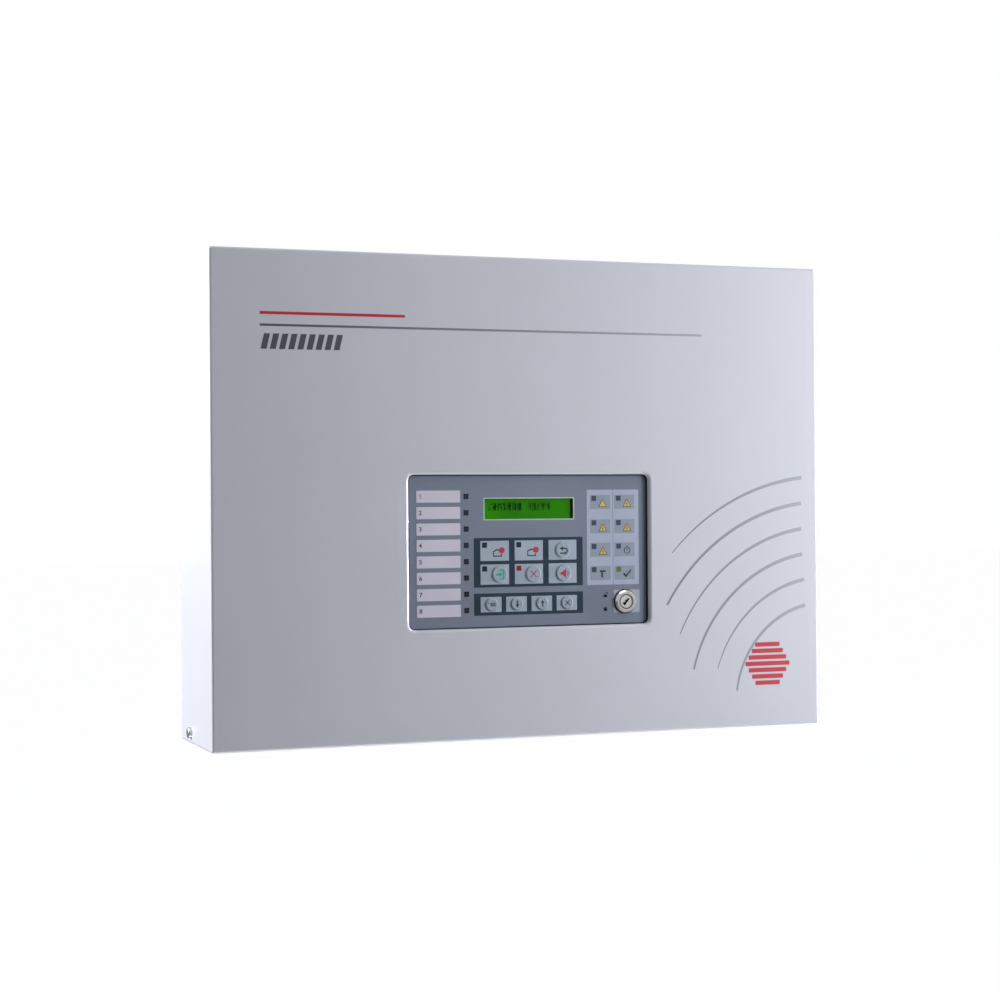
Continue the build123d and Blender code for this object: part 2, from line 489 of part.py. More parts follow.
def chips():
    """Processor, memory and driver packages: (x, z, width, height, thickness)."""
    places = [(52, 82, 24, 24, 3.6), (92, 92, 14, 20, 2.4), (112, 92, 14, 20, 2.4)]
    places += [(90 + 18 * k, 68, 10, 6, 1.8) for k in range(4)]
    places += [(x, 74 + 14 * k, 18, 7.5, 2.4) for x in (-14, 14) for k in range(2)]
    solids = []
    for x, z, w, h, t in places:
        floor = BOARD_FRONT + PIN_T
        body = block(x - w / 2, x + w / 2, floor, floor + t, z - h / 2, z + h / 2)
        half = w / 2 + PIN_REACH
        solids.append(body + block(x - half, x + half, BOARD_FRONT, floor, z - h / 2, z + h / 2))
    return solids


def capacitors():
    """Radial electrolytics standing on the board: (x, z, radius, height)."""
    places = [(-134 + 20 * k, 66, 8.0, 22) for k in range(3)]
    places += [(-66 + 13 * k, 70, 4.0, 12) for k in range(3)]
    places += [(138, 104 - 11 * k, 4.0, 12) for k in range(3)]
    solids = []
    for x, z, r, h in places:
        can = rod(x, z, BOARD_FRONT + TOUCH, BOARD_FRONT + h, r)
        can = fillet(front_edges(can), CAN_EDGE)
        rear, front = BOARD_FRONT + CAN_GROOVE[0], BOARD_FRONT + CAN_GROOVE[1]
        groove = rod(x, z, rear, front, r + OVER) - rod(x, z, rear, front, r - CAN_GROOVE_DEEP)
        solids.append(can - groove)
    return solids


def fuse_clips():
    solids = []
    for x in FUSE_XS:
        for z in (FUSE_Z0 + CLIP_IN, FUSE_Z1 - CLIP_IN):
            z0, z1 = z - CLIP_HALF_L, z + CLIP_HALF_L
            front = FUSE_DEPTH + CLIP_OUT
            clip = block(x - CLIP_HALF, x + CLIP_HALF, BOARD_FRONT, front, z0, z1)
            clip -= rod_z(x, FUSE_DEPTH, z0 - OVER, z1 + OVER, FUSE_R + LOOSE)
            clip -= block(x - CLIP_MOUTH_HALF, x + CLIP_MOUTH_HALF, FUSE_DEPTH, front + OVER,
                          z0 - OVER, z1 + OVER)
            solids.append(clip)
    return solids


def glass_fuses():
    return [rod_z(x, FUSE_DEPTH, FUSE_Z0, FUSE_Z1, FUSE_R) for x in FUSE_XS]


def heatsink():
    """Finned aluminium heatsink with the two charger transistors under its base."""
    rear, front = BOARD_FRONT + LOOSE, BOARD_FRONT + SINK_OUT
    body = block(SINK_X0, SINK_X1, rear, front, SINK_Z, SINK_Z + SINK_BASE)
    half = SINK_FIN_T / 2
    pitch = (SINK_X1 - SINK_X0 - 2) / (SINK_FINS - 1)
    for k in range(SINK_FINS):
        x = SINK_X0 + 1 + k * pitch
        body += block(x - half, x + half, rear, front, SINK_Z + SINK_BASE, SINK_Z + SINK_TALL)
    return [body] + [transistor(x, SINK_Z - TOUCH) for x in TRANSISTOR_XS]


def transistor(x, top):
    """Power transistor standing on its legs, with its tab against the face above it."""
    x0, x1 = x - TRANSISTOR_HALF, x + TRANSISTOR_HALF
    foot, middle = BOARD_FRONT + TRANSISTOR_FOOT, BOARD_FRONT + TRANSISTOR_MIDDLE
    tab = block(x0, x1, middle, BOARD_FRONT + TRANSISTOR_TOP, top - TAB_METAL_T, top)
    case = block(x0, x1, foot, middle, top - TRANSISTOR_T, top)
    under = top - LEG_DROP
    legs = block(x - LEG_HALF, x + LEG_HALF, BOARD_FRONT, foot, under - LEG_T, under)
    return tab + case + legs


# ---------------------------------------------------------------- ribbon between the two boards
def box_socket(z, base, out):
    """Shrouded header; `base` is the board face it stands on and `out` is +1 or -1 in depth."""
    far = base + out * SOCKET_H
    floor = base + out * SOCKET_FLOOR
    x0, x1 = RIBBON_X - SOCKET_L / 2, RIBBON_X + SOCKET_L / 2
    z0, z1 = z - SOCKET_WIDE / 2, z + SOCKET_WIDE / 2
    body = block(x0, x1, base, far, z0, z1)
    body -= block(x0 + SOCKET_WALL, x1 - SOCKET_WALL, floor, far + out * OVER,
                  z0 + SOCKET_WALL, z1 - SOCKET_WALL)
    key_x0, key_x1 = RIBBON_X - SOCKET_KEY_HALF, RIBBON_X + SOCKET_KEY_HALF
    return body - block(key_x0, key_x1, floor, far + out * OVER, z0 - OVER, z0 + SOCKET_WALL + OVER)


def ribbon_plug(z, base, out):
    """Ribbon connector pushed into a box socket, with its clamp bar beyond the cable."""
    inset = SOCKET_WALL + PLUG_GAP
    x0, x1 = RIBBON_X - SOCKET_L / 2 + inset, RIBBON_X + SOCKET_L / 2 - inset
    half = SOCKET_WIDE / 2 - inset
    plug_base, plug_top = base + out * PLUG_BASE, base + out * PLUG_TOP
    clamp_base, clamp_top = base + out * CLAMP_BASE, base + out * CLAMP_TOP
    body = block(x0, x1, plug_base, plug_top, z - half, z + half)
    clamp = block(x0, x1, clamp_base, clamp_top, z - half, z + half)
    for end in (x0, x1 - PLUG_END):
        clamp += block(end, end + PLUG_END, plug_top, clamp_base, z - half, z + half)
    return body + clamp


def panel_socket():
    """The display board's header, with the ribbon's other plug in it."""
    place = (PANEL_SOCKET_Z, PANEL_BACK, -1)
    return [box_socket(*place), ribbon_plug(*place)]


def ribbon_cable():
    """Flat cable that leaves the main board plug upwards and folds over to the display plug."""
    near, far = BOARD_FRONT + RIBBON_LIFT, PANEL_BACK - RIBBON_LIFT
    x0, x1 = RIBBON_X - RIBBON_W / 2, RIBBON_X + RIBBON_W / 2
    half_t = RIBBON_T / 2
    fold_r = (far - near) / 2
    depth = (far + near) / 2
    fold = rod_x(x0, x1, depth, RIBBON_FOLD_Z, fold_r + half_t)
    fold -= rod_x(x0 - OVER, x1 + OVER, depth, RIBBON_FOLD_Z, fold_r - half_t)
    fold -= block(x0 - OVER, x1 + OVER, near - OVER, far + OVER, RIBBON_FOLD_Z - far, RIBBON_FOLD_Z)
    edge = SOCKET_WIDE / 2 - SOCKET_WALL - PLUG_GAP
    rear_leg = block(x0, x1, near - half_t, near + half_t, SOCKET_Z + edge + LOOSE, RIBBON_FOLD_Z)
    front_leg = block(x0, x1, far - half_t, far + half_t, PANEL_SOCKET_Z + edge + LOOSE, RIBBON_FOLD_Z)
    return fold + rear_leg + front_leg


# ---------------------------------------------------------------- batteries
def battery_cases():
    case = block(LID_FACE + LID_T + LOOSE, BATTERY_OUT, BATTERY_REAR, BATTERY_REAR + BATTERY_T,
                 BATTERY_Z0, BATTERY_Z0 + BATTERY_L)
    return mirrored(fillet(case.edges().filter_by(Axis.X), CASE_EDGE))


def battery_lids():
    z0, z1 = BATTERY_Z0 + LID_INSET, BATTERY_Z0 + BATTERY_L - LID_INSET
    lid = block(LID_FACE, LID_FACE + LID_T, BATTERY_REAR + LID_INSET,
                BATTERY_REAR + BATTERY_T - LID_INSET, z0, z1)
    lid = fillet(lid.edges().filter_by(Axis.X), LID_EDGE)
    for z in TAB_ZS:
        lid -= block(LID_FACE - OVER, LID_FACE + TAB_WELL, TAB_DEPTH - TAB_WELL_HALF_W,
                     TAB_DEPTH + TAB_WELL_HALF_W, z - TAB_WELL_HALF_L, z + TAB_WELL_HALF_L)
    # raised vent strip down the middle of the lid
    strip = block(LID_FACE - LID_STRIP_T, LID_FACE, *LID_STRIP, z0 + LID_STRIP_IN, z1 - LID_STRIP_IN)
    return mirrored(lid + fillet(strip.edges().filter_by(Axis.X), LID_STRIP_EDGE))


def battery_tabs():
    tabs = []
    for z in TAB_ZS:
        post = block(LID_FACE + POST_IN, LID_FACE + TAB_WELL - LOOSE,
                     TAB_DEPTH - POST_HALF_W, TAB_DEPTH + POST_HALF_W, z - POST_HALF_L, z + POST_HALF_L)
        blade = block(LID_FACE - BLADE_OUT, LID_FACE + POST_IN,
                      TAB_DEPTH - BLADE_HALF_W, TAB_DEPTH + BLADE_HALF_W, z - BLADE_HALF_T, z + BLADE_HALF_T)
        tabs += mirrored(post + blade)
    return tabs


def lead_lugs():
    """Insulated push-on lugs over the battery tabs."""
    lugs = []
    for z in TAB_ZS:
        boot = block(LID_FACE - BOOT_BACK, LID_FACE + BOOT_FRONT,
                     TAB_DEPTH - BOOT_HALF_W, TAB_DEPTH + BOOT_HALF_W, z - BOOT_HALF_T, z + BOOT_HALF_T)
        boot = fillet(boot.edges().filter_by(Axis.X), BOOT_EDGE)
        half_w, half_t = BLADE_HALF_W + BOOT_GAP, BLADE_HALF_T + BOOT_GAP
        boot -= block(LID_FACE - BOOT_MOUTH, LID_FACE + BOOT_MOUTH,
                      TAB_DEPTH - half_w, TAB_DEPTH + half_w, z - half_t, z + half_t)
        lugs += mirrored(boot)
    return lugs


def battery_shelf():
    """One bent shelf under each battery."""
    top, rear = BATTERY_Z0 - LOOSE, SHEET + TOUCH
    shelf = block(SHELF_X0, SHELF_X1, rear, SHELF_OUT, top - SHELF_T, top)
    shelf += block(SHELF_X0, SHELF_X1, rear, 2 * SHEET, BATTERY_Z0 - SHELF_DROP, top)
    shelf += block(SHELF_X0, SHELF_X1, SHELF_OUT - SHEET, SHELF_OUT, BATTERY_Z0 - SHELF_FRONT_LIP, top)
    shelf -= rod(WALL_HOLE_X, WALL_HOLE_Z[0], 0, 2 * SHEET + OVER, 2 * WALL_HOLE_R)
    for x in SHELF_SCREWS:
        shelf -= rod(x, SHELF_SCREW_Z, 0, 2 * SHEET + OVER, SCREW_HOLE_R)
    return mirrored(shelf)


def battery_straps():
    """Bent strip over the front of each battery, with a screwed foot on each side of it."""
    inside, outside = LID_FACE - STRAP_LID_GAP, BATTERY_OUT + STRAP_CASE_GAP
    rear, front = SHEET + TOUCH, BATTERY_REAR + BATTERY_T + STRAP_FRONT_GAP
    strap = block(inside - STRAP_T, outside + STRAP_T, front, front + STRAP_T, STRAP_Z0, STRAP_Z1)
    for x0, x1, foot in ((inside - STRAP_T, inside, inside - STRAP_FOOT),
                         (outside, outside + STRAP_T, outside + STRAP_FOOT)):
        strap += block(x0, x1, rear, front, STRAP_Z0, STRAP_Z1)
        strap += block(foot, x1 if foot < x0 else x0, rear, SHEET + STRAP_T, STRAP_Z0, STRAP_Z1)
    for x in STRAP_SCREWS:
        strap -= rod(x, STRAP_SCREW_Z, 0, SHEET + STRAP_T + OVER, SCREW_HOLE_R)
    return mirrored(strap)


def chassis_screws():
    """Screws that hold the shelves, straps and power supply to the tray."""
    solids = []
    for x in SHELF_SCREWS:
        solids += mirrored(machine_screw(x, SHELF_SCREW_Z, 2 * SHEET + TOUCH, SHEET, LARGE_SCREW))
    for x in STRAP_SCREWS:
        solids += mirrored(machine_screw(x, STRAP_SCREW_Z, SHEET + STRAP_T + TOUCH, SHEET, LARGE_SCREW))
    for x, z in SUPPLY_FEET:
        solids.append(machine_screw(x, z, SUPPLY_REAR + SUPPLY_WALL + LOOSE, SHEET, MEDIUM_SCREW))
    return solids


# ---------------------------------------------------------------- power supply and mains
def supply_case():
    """Folded case of the switch-mode supply, with slotted vents and two pairs of fixing feet."""
    front = SUPPLY_REAR + SUPPLY_H
    wall = SUPPLY_WALL
    body = block(SUPPLY_X0, SUPPLY_X1, SUPPLY_REAR, front, SUPPLY_Z0, SUPPLY_Z1)
    body = fillet(front_edges(body), SUPPLY_EDGE)
    body -= block(SUPPLY_X0 + wall, SUPPLY_X1 - wall, SUPPLY_REAR + wall, front - wall,
                  SUPPLY_Z0 + wall, SUPPLY_Z1 - wall)
    # the terminal strip's open end
    body -= block(SUPPLY_X1 - STRIP_W - 1, SUPPLY_X1 + OVER, STRIP_REAR, front + OVER,
                  SUPPLY_Z0 + 2 * wall, SUPPLY_Z1 - 2 * wall)
    body -= supply_vents(front)
    for x, z in SUPPLY_FEET:
        if x < SUPPLY_X0:
            foot = block(SUPPLY_X0 - FOOT_L, SUPPLY_X0 + wall / 2, SUPPLY_REAR, SUPPLY_REAR + wall,
                         z - FOOT_HALF, z + FOOT_HALF)
        else:
            foot = block(x - FOOT_HALF, x + FOOT_HALF, SUPPLY_REAR, SUPPLY_REAR + wall,
                         SUPPLY_Z1 - wall / 2, SUPPLY_Z1 + FOOT_L)
        body += foot - rod(x, z, 0, SUPPLY_REAR + wall + OVER, FOOT_HOLE_R)
    return body


def supply_vents(front):
    """Cuts for the slots in the supply's front and the grille in its top."""
    cuts = []
    for c in range(SLOT_COLUMNS):
        for r in range(SLOT_ROWS):
            place = Pos(SLOT_X + c * SLOT_PITCH_X, SLOT_Z + r * SLOT_PITCH_Z)
            cuts.append(slab(place * SlotOverall(SLOT_L, SLOT_W), front - SUPPLY_WALL - OVER, front + OVER))
    for k in range(GRILLE_COUNT):
        x = GRILLE_X + GRILLE_PITCH * k
        cuts.append(block(x - GRILLE_HALF, x + GRILLE_HALF, *GRILLE_DEPTHS, SUPPLY_Z1 - 2, SUPPLY_Z1 + OVER))
    return cuts


def strip_ways():
    """Z of each screw on the supply's terminal strip."""
    middle = (SUPPLY_Z0 + SUPPLY_Z1) / 2
    return [middle + (k - (STRIP_WAYS - 1) / 2) * STRIP_PITCH for k in range(STRIP_WAYS)]


def supply_terminals():
    """Barrier strip at the supply's open end, with its clamp screws."""
    x0, x1 = SUPPLY_X1 - STRIP_W, SUPPLY_X1 - STRIP_IN
    middle = (x0 + x1) / 2
    strip = block(x0, x1, STRIP_REAR, STRIP_FLOOR, SUPPLY_Z0 + 3, SUPPLY_Z1 - 3)
    zs = strip_ways()
    for z in [zs[0] - STRIP_PITCH / 2] + [z + STRIP_PITCH / 2 for z in zs]:
        strip += block(x0, x1, STRIP_FLOOR, STRIP_FRONT, z - STRIP_RIB_HALF, z + STRIP_RIB_HALF)
    solids = [strip]
    for z in zs:
        plate = block(middle - CLAMP_HALF, middle + CLAMP_HALF, STRIP_FLOOR + TOUCH, CLAMP_FRONT - TOUCH,
                      z - CLAMP_HALF, z + CLAMP_HALF)
        solids.append(plate + machine_screw(middle, z, CLAMP_FRONT, STRIP_FLOOR, CLAMP_SCREW))
    return solids


def mains_block():
    """Three-way mains terminal block; the live way has a slot for the hinged fuse lever."""
    body = block(BLOCK_X0, BLOCK_X1, SHEET + LOOSE, MAINS_H, BLOCK_Z0, BLOCK_Z1)
    body = fillet(body.edges().filter_by(Axis.X).sort_by(Axis.Y)[:2], MAINS_EDGE)
    x0, x1 = LEVER_X0 - LEVER_SIDE_GAP, LEVER_X1 + LEVER_SIDE_GAP
    body -= block(x0, x1, LEVER_SLOT_REAR, MAINS_H + OVER, BLOCK_Z0 - OVER, BLOCK_Z1 + OVER)
    body += rod_x(x0, x1, LEVER_PIVOT_DEPTH, LEVER_PIVOT_Z, LEVER_PIVOT_R)
    for x in MAINS_WAYS:
        body -= rod(x, BLOCK_MIDDLE, MAINS_WELL_REAR, MAINS_H + OVER, MAINS_WELL_R)
        body -= block(x - MAINS_WELL_R, x + MAINS_WELL_R, *MAINS_MOUTH, BLOCK_Z1 - MAINS_MOUTH_DEEP,
                      BLOCK_Z1 + OVER)
        body += rod(x, BLOCK_MIDDLE, MAINS_WELL_REAR, MAINS_SCREW_FRONT, MAINS_SCREW_R)
    return body


def fuse_lever():
    """Hinged carrier for the mains fuse, with a finger tab at its upper end."""
    lever = rod_x(LEVER_X0, LEVER_X1, LEVER_PIVOT_DEPTH, LEVER_PIVOT_Z, LEVER_EYE_R)
    lever += block(LEVER_X0, LEVER_X1, LEVER_REAR, LEVER_FRONT, LEVER_PIVOT_Z, LEVER_TOP)
    lever += block(LEVER_X0, LEVER_X1, GRIP_REAR, GRIP_FRONT, GRIP_Z0, GRIP_Z1)
    lever -= rod_x(LEVER_X0 - OVER, LEVER_X1 + OVER, LEVER_PIVOT_DEPTH, LEVER_PIVOT_Z, LEVER_BORE_R)
    middle = (LEVER_X0 + LEVER_X1) / 2
    return lever - rod_z(middle, MAINS_FUSE_DEPTH, MAINS_FUSE_FOOT, GRIP_Z1 + OVER, MAINS_FUSE_BORE_R)


def mains_fuse():
    middle = (LEVER_X0 + LEVER_X1) / 2
    return rod_z(middle, MAINS_FUSE_DEPTH, MAINS_FUSE_FOOT + LOOSE, LEVER_TOP, MAINS_FUSE_R)


# ---------------------------------------------------------------- wiring and earth bonding
def ring_lug(depth):
    """Crimped ring terminal around a bonding stud, with its barrel pointing down."""
    rear, front = depth - LUG_HALF_T, depth + LUG_HALF_T
    ring = rod(EARTH_X, EARTH_Z, rear, front, WASHER_R)
    ring -= rod(EARTH_X, EARTH_Z, rear - OVER, front + OVER, STUD_HOLE_R)
    neck = block(EARTH_X - LUG_NECK_HALF, EARTH_X + LUG_NECK_HALF, rear, front,
                 EARTH_Z - LUG_NECK[0], EARTH_Z - LUG_NECK[1])
    barrel = rod_z(EARTH_X, depth, EARTH_Z - LUG_DROP, EARTH_Z - LUG_BARREL_TOP, LUG_BARREL_R)
    return ring + neck + barrel


def earth_fasteners():
    """Bonding stud with nut, washer and ring lug on the tray."""
    stud = rod(EARTH_X, EARTH_Z, SHEET, TRAY_STUD_FRONT, STUD_R)
    nut = hexagon(EARTH_X, EARTH_Z, *TRAY_NUT, STUD_NUT_ACROSS, STUD_HOLE_R - LOOSE)
    washer = rod(EARTH_X, EARTH_Z, *WASHER, WASHER_R)
    washer -= rod(EARTH_X, EARTH_Z, WASHER[0] - OVER, WASHER[1] + OVER, STUD_HOLE_R)
    return [stud, nut, washer, ring_lug(LUG_DEPTHS[0])]


def cover_earth_stud():
    """Bonding stud welded inside the cover's front, with its nut."""
    inner = DEPTH - SHEET
    stud = rod(EARTH_X, EARTH_Z, inner - COVER_STUD_L, inner, STUD_R)
    nut = hexagon(EARTH_X, EARTH_Z, inner - COVER_NUT[1], inner - COVER_NUT[0], STUD_NUT_ACROSS,
                  STUD_HOLE_R - LOOSE)
    return [stud, nut, ring_lug(LUG_DEPTHS[1])]


def earth_lead():
    """Slack bonding lead from tray to cover; drawn as the shape it takes with the cover shut."""
    near, far = LUG_DEPTHS
    z = EARTH_Z - LUG_DROP - LEAD_GAP
    start, end = Vector(EARTH_X, -near, z), Vector(EARTH_X, -far, z)
    lowest = Vector(EARTH_X, -(near + far) / 2, z - (far - near) / 2)
    path = ThreePointArc(start, lowest, end)
    return sweep(Plane(origin=start, z_dir=(0, 0, -1)) * Circle(EARTH_LEAD_R), path=path)


def into_terminal(x, height):
    """Last run of a lead, up into a screw terminal on the main board."""
    return [(x, BOARD_LEAD_DEPTH, height), (x, BOARD_LEAD_DEPTH, BOARD_LEAD_Z)]


def lead_red():
    """Battery positive to the main board."""
    start, low = LEAD_START, TAB_ZS[0]
    points = [(-start, TAB_DEPTH, low), (-start + 8, TAB_DEPTH, low), (-80, 22, -60), (-76, 24, -14)]
    return wire(points + into_terminal(BATTERY_TERMINAL_XS[0], 14), LEAD_R)


def lead_black():
    """Battery negative to the main board, and the link between the two batteries."""
    start, (low, high) = LEAD_START, TAB_ZS
    points = [(start, TAB_DEPTH, low), (start - 6, TAB_DEPTH, low), (84, 26, -60), (76, 28, -26),
              (30, 30, -8), (-20, 28, -2)]
    negative = wire(points + into_terminal(BATTERY_TERMINAL_XS[1], 14), LEAD_R)
    link = wire([(-start, TAB_DEPTH, high), (-start + 7, TAB_DEPTH, high), (-60, 12, -20), (0, 9, -26),
                 (60, 12, -20), (start - 7, TAB_DEPTH, high), (start, TAB_DEPTH, high)], LEAD_R)
    return [negative, link]


def supply_leads():
    """Low-voltage pair from the supply to the main board, and the mains pair from the block."""
    x, depth = SUPPLY_X1 + SUPPLY_LEAD_GAP, SUPPLY_LEAD_DEPTH
    zs = strip_ways()
    solids = []
    for z, target in zip(zs[-2:], SUPPLY_TERMINAL_XS):
        points = [(x, depth, z), (x + 6, depth, z), (x + 3, 34, z + 25), (target, 36, -8)]
        solids.append(wire(points + into_terminal(target, 12), SUPPLY_LEAD_R))
    for k, source in enumerate(MAINS_WAYS):
        rise = BLOCK_Z1 + 3.5 + 3 * k
        turn = 68.5 - 3 * k
        points = [(source, MAINS_LEAD_DEPTH, BLOCK_Z1 + LEAD_GAP), (source, MAINS_LEAD_DEPTH, rise),
                  (76, 16, rise + 1), (turn, 18, rise + 1), (turn, depth, zs[k]), (x, depth, zs[k])]
        solids.append(wire(points, SUPPLY_LEAD_R))
    return solids


# ---------------------------------------------------------------- cover
def front_cover():
    outer = block(-WIDTH / 2, WIDTH / 2, WALL_GAP, DEPTH, BOTTOM, TOP)
    outer = fillet(outer.edges().filter_by(Axis.Y) + front_edges(outer), FOLD_R)
    inner = block(-WIDTH / 2 + SHEET, WIDTH / 2 - SHEET, WALL_GAP - OVER, DEPTH - SHEET,
                  BOTTOM + SHEET, TOP - SHEET)
    body = outer - fillet(inner.edges().filter_by(Axis.Y) + front_edges(inner), FOLD_INNER_R)

    # pressed recess: a rolled rim, a short wall and a flat floor
    body += slab(recess_outline(-SHEET), FLOOR_BACK, DEPTH - SHEET / 2)
    root = [e for e in body.edges() if on_recess_edge(e, DEPTH - SHEET, SHEET)]
    body = fillet(root, FOLD_R)
    body -= slab(recess_outline(0), FLOOR_FRONT, DEPTH + OVER)
    rim = [e for e in body.edges() if on_recess_edge(e, DEPTH, 0.0)]
    body = fillet(rim, RIM_R)
    body -= floor_openings()

    # the top wall stops short of the wall, and the side walls are rounded about the hinge axis
    body -= block(-WIDTH / 2 + SHEET, WIDTH / 2 - SHEET, -OVER, TOP_WALL_REAR, TOP - SHEET - OVER, TOP + OVER)
    corner = block(-WIDTH, WIDTH, -OVER, HINGE_DEPTH, HINGE_Z, TOP + OVER)
    corner -= rod_x(-WIDTH, WIDTH, HINGE_DEPTH, HINGE_Z, HINGE_DEPTH - WALL_GAP)
    body -= corner
    for side in SIDES:
        x0, x1 = WIDTH / 2 - SHEET - OVER, WIDTH / 2 + OVER
        body -= rod_x(side * x0, side * x1, SCREW_DEPTH, SCREW_Z, SCREW_CLEAR_R)
    return body


def on_recess_edge(edge, depth, grow):
    """True for the edges of the recess outline, grown by `grow`, that lie at a given depth."""
    near, slack = 1e-3, 0.01
    box = edge.bounding_box()
    flat = abs(box.min.Y + depth) < near and abs(box.max.Y + depth) < near
    half_w, half_h = RECESS_W / 2 + grow + slack, RECESS_H / 2 + grow + slack
    inside = abs(box.min.X - RECESS_X) < half_w and abs(box.max.X - RECESS_X) < half_w
    inside = inside and abs(box.min.Z - RECESS_Z) < half_h and abs(box.max.Z - RECESS_Z) < half_h
    return flat and inside


def indicator_places():
    zones = [(ZONE_LED_X, ZONE_TOP_Z - k * ZONE_PITCH) for k in range(ZONE_COUNT)]
    status = [(x, z) for x in STATUS_LED_XS for z in STATUS_LED_ZS]
    return zones + status + list(ALARM_LEDS)


def floor_openings():
    """Everything that passes through the recess floor."""
    sketch = Pos(LCD_X, LCD_Z) * Rectangle(LCD_W + 2 * OVER, LCD_H + 2 * OVER)
    for x, z in indicator_places():
        sketch += Pos(x, z) * Circle(LED_HOLE_R)
    for x, z, _ in KEYS.values():
        sketch += Pos(x, z) * Circle(STEM_HOLE_R)
    sketch += Pos(LOCK_X, LOCK_Z) * Circle(LOCK_HOLE_R)
    return slab(sketch, FLOOR_BACK - OVER, FLOOR_FRONT + OVER)


def cover_screws():
    """The two side screws and the nuts kept on their ends."""
    screw = machine_screw(0, 0, 0, -SCREW_L, COVER_SCREW)
    nut = hexagon(0, 0, -SCREW_NUT[1], -SCREW_NUT[0], STUD_NUT_ACROSS, STUD_HOLE_R - LOOSE)
    place = Pos(WIDTH / 2, -SCREW_DEPTH, SCREW_Z) * Rot(0, 0, 90)
    return mirrored(place * screw) + mirrored(place * nut)


# ---------------------------------------------------------------- display assembly
def front_overlay():
    """Printed polycarbonate sheet bonded to the recess floor."""
    outline = recess_outline(SEAL_W + LOOSE)
    outline -= Pos(LCD_X, LCD_Z) * Rectangle(LCD_W, LCD_H)
    for x, z, r in KEYS.values():
        outline -= Pos(x, z) * Circle(r + KEY_CLEARANCE)
    outline -= Pos(LOCK_X, LOCK_Z) * Circle(LOCK_HOLE_R)
    return slab(outline, FLOOR_FRONT + TOUCH / 2, OVERLAY_FRONT)


def overlay_seal():
    """Black rubber strip that fills the gap between the overlay and the recess wall."""
    ring = recess_outline(TOUCH) - recess_outline(SEAL_W)
    return slab(ring, FLOOR_FRONT + TOUCH / 2, FLOOR_FRONT + SEAL_T)


def zone_labels():
    """White paper inserts, one beside each zone indicator, on the overlay's front."""
    rear = OVERLAY_FRONT + TOUCH / 2
    solids = []
    for k in range(ZONE_COUNT):
        strip = rounded(LABEL_X, ZONE_TOP_Z - k * ZONE_PITCH, LABEL_W, LABEL_H, LABEL_CORNER)
        solids.append(slab(strip, rear, rear + LABEL_T))
    return solids


def lcd_opening(w, h, d0, d1):
    """Block of a given width and height centred on the display."""
    return block(LCD_X - w / 2, LCD_X + w / 2, d0, d1, LCD_Z - h / 2, LCD_Z + h / 2)


def lcd_window():
    """Clear window in the overlay, in front of the display."""
    return lcd_opening(LCD_W - 2 * LOOSE, LCD_H - 2 * LOOSE, FLOOR_FRONT + LOOSE, OVERLAY_FRONT - LOOSE)


def lcd_bezel():
    """Thin metal frame over the display glass, open at the back."""
    outline = rounded(LCD_X, LCD_Z, LCD_BEZEL_W, LCD_BEZEL_H, LCD_BEZEL_CORNER)
    body = slab(outline, LCD_BEZEL_BACK, LCD_BEZEL_FRONT)
    body -= lcd_opening(LCD_GLASS_W + 2 * LCD_GAP, LCD_GLASS_H + 2 * LCD_GAP,
                        LCD_BEZEL_BACK - OVER, LCD_BEZEL_FRONT - LCD_BEZEL_T)
    return body - lcd_opening(LCD_VIEW_W, LCD_VIEW_H, LCD_BEZEL_BACK, LCD_BEZEL_FRONT + OVER)


def lcd_glass():
    front = LCD_BEZEL_FRONT - LCD_BEZEL_T - LOOSE
    return lcd_opening(LCD_GLASS_W, LCD_GLASS_H, LCD_BEZEL_BACK + LOOSE, front)


def lcd_board():
    """The display module's own board, and the row of pins that joins it to the display board."""
    outline = Pos(LCD_X, LCD_Z) * Rectangle(LCD_BOARD_W, LCD_BOARD_H)
    for sx in SIDES:
        for sz in SIDES:
            outline -= Pos(LCD_X + sx * LCD_FIXING_X, LCD_Z + sz * LCD_FIXING_Z) * Circle(LCD_FIXING_R)
    front = LCD_BEZEL_BACK - LOOSE
    rear = front - LCD_BOARD_T
    pins = block(LCD_PINS_X0, LCD_PINS_X1, PANEL_FRONT + TOUCH, rear - TOUCH, LCD_PINS_Z0, LCD_PINS_Z1)
    return [slab(outline, rear, front), pins]


def display_board():
    outline = rounded(RECESS_X, RECESS_Z, PANEL_W, PANEL_H, PANEL_CORNER)
    outline -= Pos(LOCK_X, LOCK_Z) * Circle(LOCK_BOARD_HOLE_R)
    for x, z in PANEL_FIXINGS:
        outline -= Pos(x, z) * Circle(FIXING_HOLE_R)
    return slab(outline, PANEL_BACK, PANEL_FRONT)


def display_spacers():
    """Threaded spacers welded behind the recess floor."""
    solids = []
    for x, z in PANEL_FIXINGS:
        spacer = hexagon(x, z, PANEL_FRONT, FLOOR_BACK, SPACER_ACROSS)
        solids.append(spacer - rod(x, z, PANEL_FRONT - OVER, FLOOR_BACK - SPACER_ROOT, THREAD_R))
    return solids


def display_screws():
    screw = machine_screw(0, 0, 0, -PANEL_SCREW_L, SMALL_SCREW)
    return [Pos(x, -PANEL_BACK, z) * Rot(0, 0, 180) * screw for x, z in PANEL_FIXINGS]


def indicator_leds():
    seat = PANEL_FRONT + LED_FLANGE_T
    solids = []
    for x, z in indicator_places():
        lamp = rod(x, z, seat, FLOOR_FRONT - LED_SHY, LED_R)
        lamp = fillet(front_edges(lamp), LED_DOME)
        solids.append(lamp + rod(x, z, PANEL_FRONT, seat, LED_FLANGE_R))
    return solids


